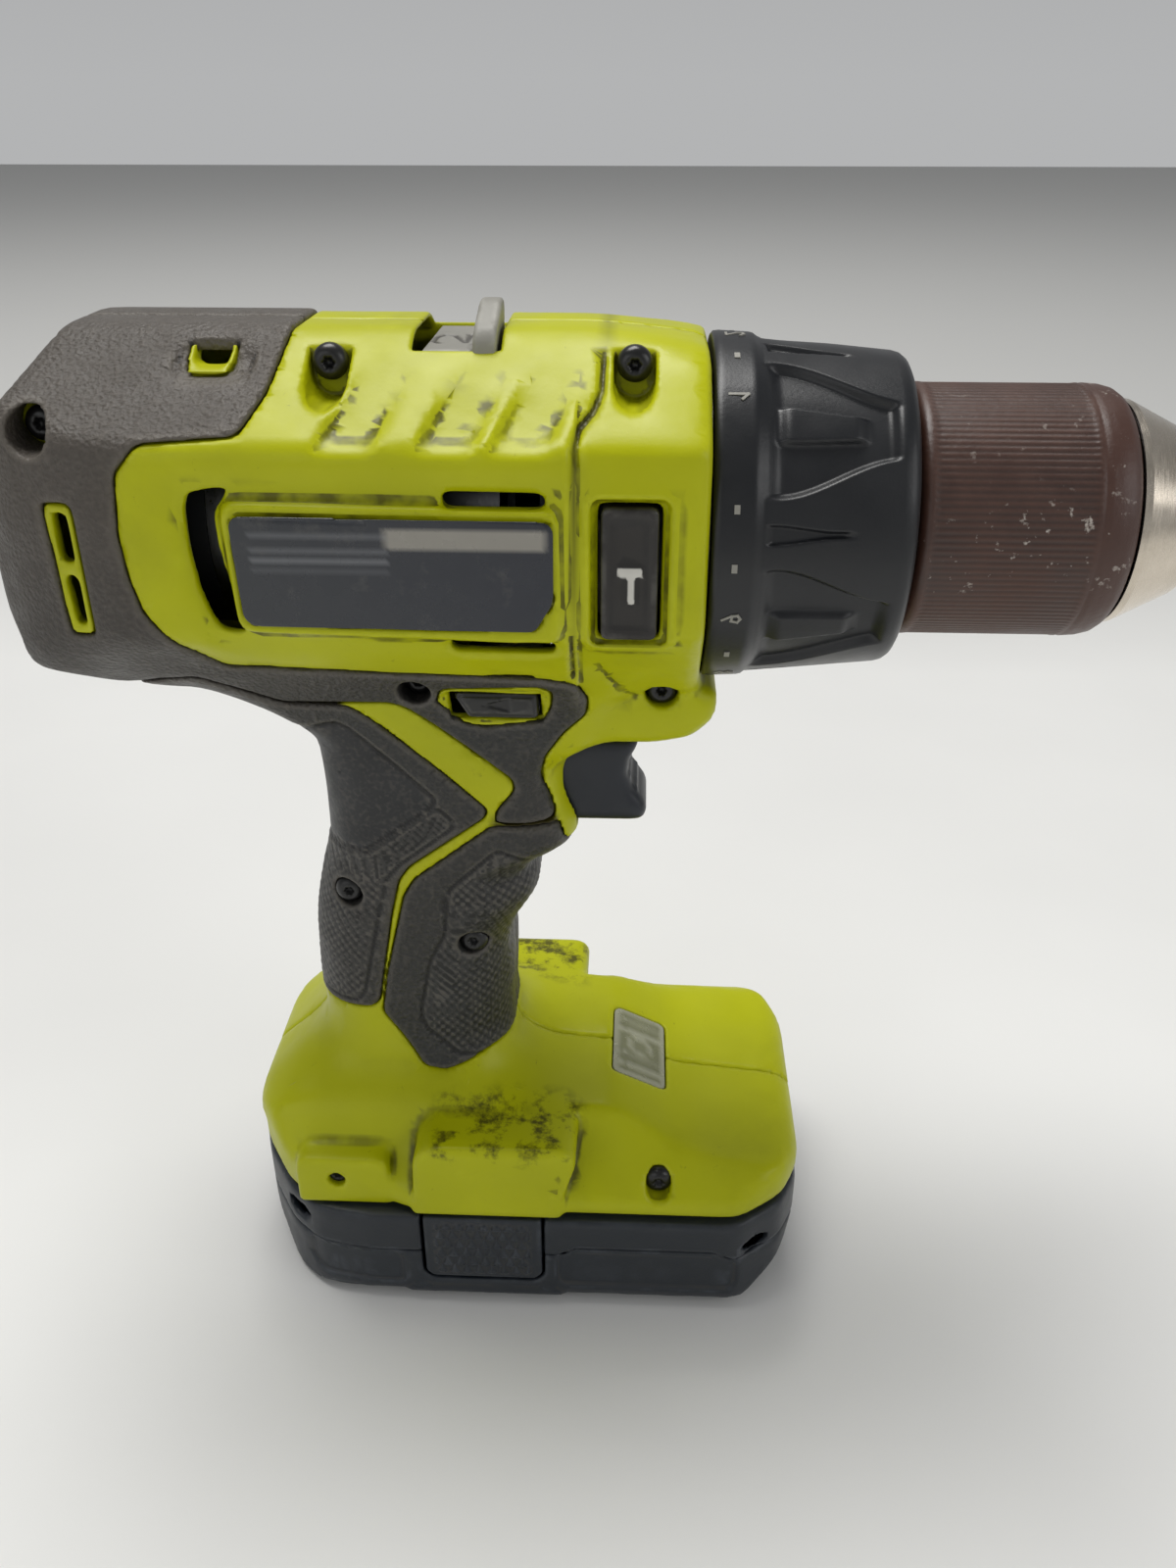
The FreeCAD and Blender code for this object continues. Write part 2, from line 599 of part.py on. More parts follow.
first_plate = cylinder(15.6, 2, vec(16.2, 0, SPINDLE))
second_sun = toothed(SUN, 18, 8.2)
solid("first_carrier", first_plate.fuse(planet_pins(9, 7.6) + [second_sun]))

second_plate = cylinder(15.6, 3, vec(26.6, 0, SPINDLE))
spindle = cylinder(val("dim.spindle_radius"), 46.4, vec(29.5, 0, SPINDLE))
thread = cylinder(4.8, 8, vec(75.8, 0, SPINDLE))
solid("output_spindle", second_plate.fuse(planet_pins(19.4, 7.4) + [spindle, thread]))

case_profile = [
    ("8.5 - 1.9", "4"), ("8.4", "4"), ("8.4", "dim.case_radius - 1.9"),
    ("dim.case_front - 2.4", "dim.case_radius - 1.9"), ("dim.case_front - 2.4", "dim.neck_radius - 2.1"),
    ("dim.neck_front", "dim.neck_radius - 2.1"), ("dim.neck_front", "dim.neck_radius"),
    ("dim.case_front", "dim.neck_radius"), ("dim.case_front", "dim.case_radius"),
    ("8.5 - 1.9", "dim.case_radius"),
]
keep("gear_case", turned("gear_case", "0", case_profile))

spindle_rings = []
for x in (34, 55):
    bore = val("dim.spindle_radius + dim.running_gap")
    spindle_rings.append(washer(val("dim.bearing_radius"), bore, x, 6))
solid("spindle_bearings", Part.makeCompound(spindle_rings))

# ------------------------------------------------------------------ torque clutch
def ring_of_springs(count, orbit, coil_radius, wire_radius, x, length, turns):
    """Compression springs standing around the neck, each a helix along X."""
    springs = []
    for number in range(count):
        helix = Part.makeHelix(length / turns, length, coil_radius)
        start = vec(coil_radius, 0, 0)
        circle = Part.Wire(Part.Circle(start, Y_AXIS, wire_radius).toShape())
        coil = Part.Wire(helix.Edges).makePipeShell([circle], True, True)
        coil.rotate(vec(0, 0, 0), Y_AXIS, 90)
        angle = 2 * math.pi * number / count
        coil.translate(vec(x, orbit * math.cos(angle), SPINDLE + orbit * math.sin(angle)))
        springs.append(coil)
    return springs


solid("clutch_springs", Part.makeCompound(ring_of_springs(6, 18.2, 2.2, 0.5, 36.3, 9.4, 5)))
keep("clutch_plate", tube("clutch_plate", "33.8", "1.6", "21.6", "dim.neck_radius + 0.2"))
keep("clutch_nut", tube("clutch_nut", "46.8", "4.5", "21.6", "dim.neck_radius + 0.08"))
keep("ratchet_fixed", turned("ratchet_fixed", "41", [
    ("0", "dim.spindle_radius + 1.6"), ("2.4", "dim.spindle_radius + 1.6"),
    ("2.4", "dim.bearing_radius"), ("0", "dim.bearing_radius")]))
keep("ratchet_rotating", turned("ratchet_rotating", "45.2", [
    ("0", "dim.spindle_radius"), ("2.4", "dim.spindle_radius"),
    ("2.4", "dim.bearing_radius - 1"), ("0", "dim.bearing_radius - 1")]))

collar = turned("collar_blank", "dim.collar_rear", [
    ("0", "dim.collar_radius - 5.2"), ("29", "dim.collar_front_radius - 3"), ("29", "23"),
    ("dim.collar_front - dim.collar_rear", "23"),
    ("dim.collar_front - dim.collar_rear", "dim.collar_front_radius - 1.6"),
    ("dim.collar_front - dim.collar_rear - 1.6", "dim.collar_front_radius"),
    ("6", "dim.collar_radius - 0.3"), ("0", "dim.collar_radius"),
])
doc.recompute()
FLUTES = 12
FLUTE_RADIUS = 2.4
collar_shape = collar.Shape.copy()
for number in range(FLUTES):
    start = vec(val("dim.collar_rear") + 8, 0, SPINDLE + val("dim.collar_radius") + 0.6)
    flute = cylinder(FLUTE_RADIUS, 40, start, vec(1, 0, -0.07))
    flute.rotate(vec(0, 0, SPINDLE), X_AXIS, 360 * (number + 0.5) / FLUTES)
    collar_shape = collar_shape.cut(flute)
solid("torque_collar", collar_shape)
keep("collar_retainer", tube(
    "collar_retainer", "dim.neck_front + 0.1", "3.6", "22.6", "dim.spindle_radius + 2"))

# ------------------------------------------------------------------ chuck
JAW_SLANT = math.radians(val("dim.jaw_angle"))
JAW_TIP_X = 113.0
JAW_TIP_RADIUS = 8.3


def jaw_rod(number, radius, length, extra=0.0):
    """A rod on a jaw's slanted line, reaching back from the nose."""
    tip = vec(JAW_TIP_X + extra * math.cos(JAW_SLANT), 0, JAW_TIP_RADIUS - extra * math.sin(JAW_SLANT))
    back = vec(-math.cos(JAW_SLANT), 0, math.sin(JAW_SLANT))
    item = Part.makeCylinder(radius, length, tip, back)
    item.rotate(vec(0, 0, 0), X_AXIS, 120 * number)
    item.translate(vec(0, 0, SPINDLE))
    return item


core_profile = [
    ("0", "4.8"), ("8.2", "4.8"), ("8.2", "2.2"), ("11.5", "2.2"), ("11.5", "7.6"), ("14.8", "7.6"),
    ("14.8", "dim.chuck_bore"),
    ("35.8", "dim.chuck_bore"), ("35.8", "12.4"), ("27.2", "16.8"), ("27.2", "18.2"), ("20", "18.2"),
    ("14", "15"), ("0", "15"),
]
chuck_core = turned("chuck_core", "76", core_profile)
nose = turned("nose_blank", "dim.nose_tip - 12.6", [
    ("0", "17.1"), ("8.7", "12.7"), ("8.7", "dim.chuck_bore + 0.05"), ("12.6", "dim.chuck_bore + 0.05"),
    ("12.6", "12.2"), ("11", "14.2"), ("1.2", "19"), ("0", "19"),
])
doc.recompute()
slots = [jaw_rod(number, val("dim.jaw_radius + 0.08"), 44, 10) for number in range(3)]
solid("chuck_body", chuck_core.Shape.cut(slots))
solid("chuck_nose", nose.Shape.cut(slots))

jaw_relief = cylinder(val("dim.chuck_bore") + 0.2, 40, vec(90, 0, SPINDLE))
for number in range(3):
    jaw = jaw_rod(number, val("dim.jaw_radius"), val("dim.jaw_length"))
    solid(f"chuck_jaw_{number + 1}", jaw.cut(jaw_relief))

sleeve = turned("sleeve_blank", "dim.chuck_rear", [
    ("0", "9"), ("1.8", "9"), ("1.8", "dim.sleeve_radius - 2.3"),
    ("dim.sleeve_length", "dim.sleeve_radius - 2.3"), ("dim.sleeve_length", "dim.sleeve_radius - 1"),
    ("dim.sleeve_length - 1", "dim.sleeve_radius"), ("1.5", "dim.sleeve_radius"),
    ("0", "dim.sleeve_radius - 1.5"),
])
doc.recompute()
sleeve_shape = sleeve.Shape.copy()
for number in range(6):
    dimple = Part.makeCylinder(5, 18, vec(val("dim.chuck_rear") + 9, 0, SPINDLE + 26), X_AXIS)
    dimple.rotate(vec(0, 0, SPINDLE), X_AXIS, 60 * number + 30)
    sleeve_shape = sleeve_shape.cut(dimple)
solid("chuck_sleeve", sleeve_shape)
keep("jaw_nut", tube("jaw_nut", "81", "5", "dim.sleeve_radius - 2.3", "15.2"))
keep("chuck_screw", joined(
    "chuck_screw",
    rod("screw_shank", "84.3", "3.2", "2.1"),
    rod("screw_head", "87.5", "1.9", "4.6"),
))

# ------------------------------------------------------------------ controls
keep("trigger", joined(
    "trigger",
    slab("trigger_blade", [
        ("-2", "104"), ("-2", "117.5"), ("9.2", "119.4"), ("20", "121.2"), ("23.8", "120.8"), ("22.6", "117"),
        ("21", "112.6"), ("22.2", "109"), ("25.2", "105"), ("25", "103.6"), ("22.6", "102.8"), ("4", "102.8"),
    ], "dim.trigger_half_width"),
    rod("trigger_plunger", "-14", "13", "2.2", "0", "111"),
))
keep("switch_module", minus(
    "switch_module",
    block("switch_case", "-31", "-8.2", "100.5", "20.8", "16.4", "21"),
    rod("plunger_well", "-24", "14", "2.5", "0", "111"),
))
spring = ring_of_springs(1, 0, 3.5, 0.5, 0, 6.6, 3)[0]
spring.translate(vec(-9.4, 0, 111 - SPINDLE))
solid("trigger_spring", spring)

keep("direction_selector", block(
    "direction_selector", "-9.7", "-dim.selector_half_length", "130.65", "15.2",
    "2 * dim.selector_half_length", "5.2"))
keep("speed_selector", joined(
    "speed_selector",
    block("selector_plate", "-13.6", "-8.6", "186.6", "21.6", "17.2", "1.6"),
    block("selector_rise", "-12.6", "-12.6", "188.2", "11.6", "25.2", "3.4"),
    slab("selector_tab", [
        ("-4.6", "191"), ("-0.9", "191"), ("-1.4", "198.8"), ("-3.8", "198.8")], "7", "-5"),
))

# mode button: two caps on a yoke that passes around the gear case
YOKE_SHIFT = -1.2
yoke = Part.makeBox(5.6, 51.6, 48.6, vec(10.6, -25.8 + YOKE_SHIFT, SPINDLE - 24.3))
yoke = yoke.common(cylinder(27.4, 20, vec(5, YOKE_SHIFT, SPINDLE)))
for shift in (-1.2, 1.2):
    yoke = yoke.cut(cylinder(val("dim.case_radius") + 0.25, 20, vec(5, YOKE_SHIFT + shift, SPINDLE)))
yoke = yoke.cut(Part.makeBox(20, 2.4, 45.5, vec(5, -1.2 + YOKE_SHIFT, SPINDLE - 22.75)))
caps = []
for hand in (-1, 1):
    face = hand * 30.3 + YOKE_SHIFT
    foot = hand * 24.2 + YOKE_SHIFT
    low, high = sorted((face, foot))
    caps.append(Part.makeBox(9.1, high - low, 21.6, vec(16.6, low, 150.8)))
    low, high = sorted((foot, hand * 25.8 + YOKE_SHIFT))
    caps.append(Part.makeBox(3, high - low, 16, vec(14, low, 153.6)))
solid("mode_button", yoke.fuse(caps))

# ------------------------------------------------------------------ lamp and leads
LENS = [(19.2, 42.9), (29.6, 37.9), (29.6, 34.6), (19.2, 39.4)]
keep("led_lens", slab("led_lens", [(str(x), str(z)) for x, z in LENS], "8.8"))
board = Part.makeBox(8, 14, 1.2, vec(16.4, -7, 31.6)).fuse(Part.makeCylinder(2.4, 1.8, vec(20.8, 0, 32.8)))
solid("led_board", board)

terminal = Part.makeBox(18, 20, 8, vec(-32, -10, 74.2))
for hand in (-1, 1):
    blade = Part.makeBox(8, 0.8, 16, vec(-27, hand * 11.6 - 0.4, 60))
    bridge = Part.makeBox(8, 3.4, 2, vec(-27, min(hand * 8.6, hand * 12), 76))
    terminal = terminal.fuse([blade, bridge])
solid("terminal_block", terminal)


def lead(route, radius):
    """A round lead along straight runs that are joined by tangent arcs."""
    edges = []
    previous = route[0]
    for before, corner, after in zip(route, route[1:], route[2:]):
        run_in = (corner - before).normalize()
        run_out = (after - corner).normalize()
        reach = 0.45 * min((corner - before).Length, (after - corner).Length)
        bend = reach / math.tan(run_in.getAngle(run_out) / 2)
        start = corner - run_in * reach
        end = corner + run_out * reach
        inward = ((start + end) / 2 - corner).normalize()
        middle = corner + inward * (math.hypot(bend, reach) - bend)
        edges.append(Part.LineSegment(previous, start).toShape())
        edges.append(Part.Arc(start, middle, end).toShape())
        previous = end
    edges.append(Part.LineSegment(previous, route[-1]).toShape())
    circle = Part.Wire(Part.Circle(route[0], route[1] - route[0], radius).toShape())
    return Part.Wire(edges).makePipeShell([circle], True, True)


LEAD_RADIUS = 0.9
leads = []
for y in (-5, 5):
    route = [vec(-32.6, y, 108), vec(-32.6, y, 125.5), vec(-42, y, 137.4), vec(-58, y, 141)]
    leads.append(lead(route, LEAD_RADIUS))
    leads.append(cylinder(LEAD_RADIUS, 18.2, vec(-22, y, 82.25), Z_AXIS))
solid("power_leads", Part.makeCompound(leads))

# ------------------------------------------------------------------ battery pack
PACK_SIDE = [
    (-50, 0), (46, 0), (57.5, 9), (59.5, 14), (59.5, 25), (-59.5, 25), (-59.5, 14), (-57.5, 8),
]
PACK_SECTION = mirrored([(33.5, 0), (37, 4), (37, 25)])


def pack_volume(inset):
    """The flat part of the pack, or the same form moved inwards."""
    plan = rounded_section(
        -val("dim.pack_half_length") + inset, val("dim.pack_half_length") - inset,
        val("dim.pack_half_width") - inset, 15 - inset, -1,
    )
    form = side_prism(PACK_SIDE, 40, inset)
    form = form.common(front_prism(PACK_SECTION, -62, 62, inset))
    return form.common(Part.Face(plan).extrude(vec(0, 0, 40)))


stem_half = val("dim.stem_half")
stem_x = val("dim.stem_x")
stem = level_loft([
    (24, stem_x - stem_half, stem_x + stem_half, stem_half, 3),
    (val("dim.stem_top"), stem_x - stem_half + 0.3, stem_x + stem_half - 0.3, stem_half - 0.3, 3),
])
stem_bore = cylinder(val("dim.cell_radius") + 0.15, 71.3, vec(stem_x, 0, 0), Z_AXIS)
pack_hollow = pack_volume(val("dim.pack_wall"))
latch_windows = []
for hand in (-1, 1):
    latch_windows.append(Part.makeBox(25.6, 5.2, 18, vec(-19.8, hand * 34.9 - 2.6, 7)))
pack = pack_volume(0).cut(pack_hollow).cut(latch_windows)
upper_space = Part.makeBox(200, 100, 100, vec(-100, -50, val("dim.pack_seam")))
lower_space = Part.makeBox(200, 100, 30, vec(-100, -50, val("dim.pack_seam") - 30))
upper = pack.common(upper_space).fuse(stem).cut(stem_bore)
solid("battery_case_upper", upper)
solid("battery_case_lower", pack.common(lower_space))

CELL_ROW = [-42.6, -3.4, 15.2, 33.8]
cells = []
radius = val("dim.cell_radius")
length = val("dim.cell_length")
for x in CELL_ROW:
    cells.append(cylinder(radius, length, vec(x, -length / 2, 12), Y_AXIS))
cells.append(cylinder(radius, length, vec(stem_x, 0, 3), Z_AXIS))
solid("battery_cells", Part.makeCompound(cells))

for hand, sign in (("right", -1), ("left", 1)):
    pad = Part.makeBox(24.6, 1.9, 17.2, vec(-19.3, sign * 36.05 - 0.95, 7.5))
    tongue = Part.makeBox(12, 1.9, 6, vec(-13, sign * 36.05 - 0.95, 24.5))
    solid(f"battery_latch_{hand}", pad.fuse(tongue))

# ------------------------------------------------------------------ checks and export
doc.recompute()
for item in doc.Objects:
    if "Invalid" in item.State or "Error" in item.State:
        raise RuntimeError(f"{item.Label} failed: {item.State}")
for node, item in pieces.items():
    if item.Shape.isNull() or not item.Shape.isValid() or not item.Shape.Solids:
        raise RuntimeError(f"{node} has no valid solid")

os.makedirs("parts", exist_ok=True)
for node, item in pieces.items():
    item.Shape.exportStep(f"parts/{node}.step")
    print(f"{node:22s} solids {len(item.Shape.Solids)}  volume {item.Shape.Volume / 1000:8.2f} cm3")
print(len(pieces), "nodes")
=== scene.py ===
"""Looks of the cordless drill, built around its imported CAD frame.

Moulded parts are signed distance fields on a grid, in millimetres, that openvdb turns into
meshes. Turned parts are meshes swept about the spindle axis.
"""
import math

import bpy
import numpy as np
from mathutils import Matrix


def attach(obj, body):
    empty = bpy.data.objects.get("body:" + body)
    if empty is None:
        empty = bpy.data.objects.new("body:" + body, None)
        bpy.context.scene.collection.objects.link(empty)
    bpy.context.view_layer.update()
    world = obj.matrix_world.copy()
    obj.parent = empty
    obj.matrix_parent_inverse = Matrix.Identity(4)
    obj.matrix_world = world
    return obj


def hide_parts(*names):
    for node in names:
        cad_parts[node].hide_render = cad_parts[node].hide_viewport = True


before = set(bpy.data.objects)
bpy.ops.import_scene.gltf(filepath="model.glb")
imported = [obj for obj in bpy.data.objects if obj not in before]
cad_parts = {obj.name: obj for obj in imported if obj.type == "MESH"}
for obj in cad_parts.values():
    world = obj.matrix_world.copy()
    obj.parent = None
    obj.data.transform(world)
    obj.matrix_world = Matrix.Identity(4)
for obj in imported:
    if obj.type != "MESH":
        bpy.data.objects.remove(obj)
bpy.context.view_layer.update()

import openvdb
from mathutils import Matrix, Vector

MM = 0.001  # metres
SPINDLE = 163.5  # height of the spindle axis


# ---- fields
def smooth_min(a, b, k):
    h = np.maximum(k - abs(a - b), 0) / k
    return np.minimum(a, b) - h * h * k / 4


def smooth_max(a, b, k):
    h = np.maximum(k - abs(a - b), 0) / k
    return np.maximum(a, b) + h * h * k / 4


def common(*fields):
    """The part that all the fields share."""
    total = fields[0]
    for field in fields[1:]:
        total = np.maximum(total, field)
    return total


def union(*fields):
    total = fields[0]
    for field in fields[1:]:
        total = np.minimum(total, field)
    return total


def polyline(points, a, b):
    """Distance to an open line of points in the plane of a and b."""
    a, b = np.broadcast_arrays(a, b)
    best = np.full(a.shape, 1e9, np.float32)
    for (x1, y1), (x2, y2) in zip(points, points[1:]):
        ex, ey = x2 - x1, y2 - y1
        wx, wy = a - x1, b - y1
        t = np.clip((wx * ex + wy * ey) / (ex * ex + ey * ey), 0, 1)
        best = np.minimum(best, (wx - t * ex) ** 2 + (wy - t * ey) ** 2)
    return np.sqrt(best)


def polygon(points, a, b):
    """Signed distance to a closed polygon, negative inside."""
    inside = False
    for (x1, y1), (x2, y2) in zip(points, points[1:] + points[:1]):
        if y1 != y2:
            inside = inside ^ (((y1 > b) != (y2 > b)) & (a < (b - y1) * (x2 - x1) / (y2 - y1) + x1))
    return (polyline(points + points[:1], a, b) * np.where(inside, -1, 1)).astype(np.float32)


def rounded_box(a, b, centre, half, radius):
    """Signed distance to a rectangle with round corners."""
    qa = abs(a - centre[0]) - half[0] + radius
    qb = abs(b - centre[1]) - half[1] + radius
    outside = np.hypot(np.maximum(qa, 0), np.maximum(qb, 0))
    return outside + np.minimum(np.maximum(qa, qb), 0) - radius


def soften(field, radius, step, axes=(0, 1)):
    """Rounds the corners of a plane field with three running means."""
    width = max(int(round(radius / step)), 1)
    for _ in range(3):
        for axis in axes:
            pad = [(0, 0)] * field.ndim
            pad[axis] = (width + 1, width)
            total = np.cumsum(np.pad(field, pad, mode="reflect", reflect_type="odd"), axis=axis)
            upper = np.take(total, range(2 * width + 1, total.shape[axis]), axis=axis)
            lower = np.take(total, range(0, total.shape[axis] - 2 * width - 1), axis=axis)
            field = (upper - lower) / (2 * width + 1)
    return field.astype(np.float32)


def within(field, edge=0.5):
    """1 inside a plane outline, 0 outside, with a ramp as wide as edge."""
    return np.clip(0.5 - field / edge, 0, 1)


def stamped(*rows):
    """A sum of depths: each row has a depth, the area that it is pressed into, and the width of its edge."""
    return sum(depth * within(area, edge) for depth, area, edge in rows)


class Grid:
    """A block of space, in millimetres."""

    def __init__(self, low, high, step):
        self.low = np.array(low, float)
        self.step = step
        counts = [int(round((b - a) / step)) + 1 for a, b in zip(low, high)]
        axes = [start + step * np.arange(count) for start, count in zip(low, counts)]
        self.x = axes[0].astype(np.float32)[:, None, None]
        self.y = axes[1].astype(np.float32)[None, :, None]
        self.z = axes[2].astype(np.float32)[None, None, :]
        self.axes = (self.x, self.y, self.z)

    def sample(self, values, points):
        """The values at points in millimetres, between the grid's own points."""
        at = (points - self.low) / self.step
        top = np.array(values.shape) - 2
        low = np.clip(np.floor(at).astype(int), 0, top)
        part = np.clip(at - low, 0, 1)
        total = 0
        for corner in range(8):
            bits = [(corner >> axis) & 1 for axis in range(3)]
            weight = 1
            for axis in range(3):
                weight = weight * (part[:, axis] if bits[axis] else 1 - part[:, axis])
            total = total + weight * values[tuple(low[:, axis] + bits[axis] for axis in range(3))]
        return total

    def crease(self, field):
        """Curvature of a field: above 0 on ridges, below 0 in grooves."""
        near = np.clip(field, -4, 4)
        total = -6 * near
        for axis in range(3):
            total += np.roll(near, 1, axis) + np.roll(near, -1, axis)
        return total / self.step ** 2


XZ, YZ, XY = (0, 2), (1, 2), (0, 1)


def outline(points, grid, radius, plane=XZ):
    """Signed distance to a polygon with softened corners, in a plane of the grid."""
    a, b = (grid.axes[axis] for axis in plane)
    return soften(polygon(points, a, b), radius, grid.step, plane)


def new_object(name, vertices, faces, smooth=True):
    """A mesh object from points in millimetres."""
    mesh = bpy.data.meshes.new(name)
    mesh.from_pydata((np.asarray(vertices) * MM).tolist(), [], faces)
    mesh.validate()
    if smooth:
        mesh.shade_smooth()
    item = bpy.data.objects.new(name, mesh)
    bpy.context.scene.collection.objects.link(item)
    return item


def set_attribute(item, name, values):
    layer = item.data.attributes.new(name, "FLOAT", "POINT")
    layer.data.foreach_set("value", np.asarray(values, np.float32))


def carve(name, field, grid, adaptivity=0.05, mirror=False, marks=None):
    """The zero surface of a field as a mesh, or its mirror image across y, with marks as attributes."""
    volume = openvdb.FloatGrid(3 * grid.step)
    volume.copyFromArray(np.clip(field, -3 * grid.step, 3 * grid.step).astype(np.float32))
    points, triangles, quads = volume.convertToPolygons(isovalue=0.0, adaptivity=adaptivity)
    points = points * grid.step + grid.low
    crease = grid.sample(grid.crease(field), points)
    values = {key: grid.sample(np.broadcast_to(mark, field.shape), points)
              for key, mark in (marks or {}).items()}
    faces = [tuple(f) for f in triangles.tolist()] + [tuple(f) for f in quads.tolist()]
    if mirror:
        points = points * np.array([1, -1, 1])
        faces = [f[::-1] for f in faces]
    item = new_object(name, points, faces)
    set_attribute(item, "crease", crease)
    for key, value in values.items():
        set_attribute(item, key, value)
    return item


def lathe(name, profile, turns, shape, marks=None):
    """A closed profile of (x, radius) turned about the spindle; shape gives the radius of each point."""
    profile = np.array(profile, float)
    rows = len(profile)
    angle = np.linspace(0, 2 * math.pi, turns, endpoint=False)
    x = np.repeat(profile[:, :1], turns, 1)
    radius = np.repeat(profile[:, 1:], turns, 1)
    around = np.broadcast_to(angle, x.shape)
    radius = shape(x, radius, around)
    points = np.stack([x, radius * np.sin(around), SPINDLE + radius * np.cos(around)], -1).reshape(-1, 3)
    faces = []
    for row in range(rows):
        here, below = row * turns, (row + 1) % rows * turns
        for column in range(turns):
            beside = (column + 1) % turns
            faces.append((here + column, here + beside, below + beside, below + column))
    item = new_object(name, points, faces)
    for key, value in (marks or {}).items():
        set_attribute(item, key, value(x, radius, around).ravel())
    return item


def filled_profile(corners, spacing=0.6):
    """A closed profile with points added along its straight runs."""
    points = []
    for (x1, r1), (x2, r2) in zip(corners, corners[1:] + corners[:1]):
        count = max(int(math.hypot(x2 - x1, r2 - r1) / spacing), 1)
        points += [(x1 + (x2 - x1) * k / count, r1 + (r2 - r1) * k / count) for k in range(count)]
    return points


# ---- outer form of the housing
STEP = 0.5
WALL = 2.8  # thickness of the hard shell
SKIN = 1.4  # depth of the soft skin below the outer form
PROUD = 0.45  # how far the skin stands out of it
LINING = 1.1  # thickness of the skin inside a screw pocket

BODY_SIDE = [
    (-71, 136.5), (-82, 142), (-85.5, 152), (-85.5, 161), (-82.5, 174), (-77, 186), (-70.5, 195.5),
    (14, 195.5), (33.5, 192.8), (33.5, 133.6), (-60, 133.6),
]
BODY_SECTION = [(14, 133), (24, 141), (33, 151), (33, 181), (17, 190.2), (8, 195.5)]
BODY_PLAN = [(-85.5, 20), (-78, 26.5), (-71.5, 29.5), (-60, 33.4), (60, 33.4)]
GROOVE_X = 12.0  # the joint between the body and its narrower nose
# the handle's height, rear, front, half width and corner radius
HANDLE = np.array([
    (40, -54, 5, 24, 12), (48, -47, -1.5, 18.5, 12), (55, -42.5, -2.8, 16.6, 12.5),
    (68, -42.4, -2.2, 16.3, 12.5), (77, -42, -2.4, 16.3, 12.5), (81, -41.7, -0.8, 16.3, 12.5),
    (85.5, -40.8, 2.4, 16.4, 12.5), (89, -40, 3.9, 16.5, 12.5), (92.5, -39.2, 2.9, 16.5, 12.5),
    (95, -38.4, 1.8, 16.5, 12.3), (97.5, -37.5, 5.8, 16.6, 12), (100, -37.1, 11.4, 16.6, 11),
    (104.5, -36.9, 12.9, 16.6, 11), (108, -36.9, 10.7, 16.6, 11), (113.5, -36.9, 9.3, 16.6, 11),
    (119.5, -37, 10.2, 16.8, 10), (123.6, -37.2, 14.4, 17.2, 9), (130, -45, 17, 18.2, 8),
    (141, -60, 22, 21, 8),
], float)
BASE_SIDE = [
    (-59.5, 25.2), (59.5, 25.2), (59.5, 31.5), (55, 34.2), (33, 36.6), (19.5, 43.2), (1, 44), (-46, 44),
    (-54, 39.5), (-59.5, 30),
]
BASE_SECTION = [(36.5, 25.2), (36.5, 29), (28, 36.2), (24.4, 40), (22.6, 44), (0.1, 44.2)]
BASE_PLAN = [
    (-59.5, 7), (-55.4, 18), (-48.3, 29), (-44.5, 32), (-27, 33.6), (-22, 36.5), (45, 36.5), (55, 29),
    (59.5, 20),
]
BASE_PANEL = [(-21.5, 20), (-20.5, 40.5), (-17.5, 43.4), (10.4, 43.4), (12.9, 41), (9.6, 29.4), (9.2, 20)]
BASE_BOSS = [(-45.5, 20), (-45.5, 35.5), (-44, 37), (-27, 37), (-26, 36), (-26, 20)]
CHIN_SIDE = [
    (11, 141), (11, 122.2), (25.5, 121.9), (33, 123.4), (37.3, 127.5), (37.5, 133.3), (33.4, 133.3),
    (33.4, 141),
]


def both_sides(points):
    """Half a cross-section with its mirror image."""
    return points + [(-y, z) for y, z in reversed(points)]


def both_edges(points):
    """Half a plan with its mirror image."""
    return points + [(x, -y) for x, y in reversed(points)]


def body_section(half_width, grid):
    """The body's cross-section, with its flanks moved to half_width."""
    points = [(y + half_width - 33 if y > 20 else y, z) for y, z in BODY_SECTION]
    return outline(both_sides(points), grid, 1.2, YZ)


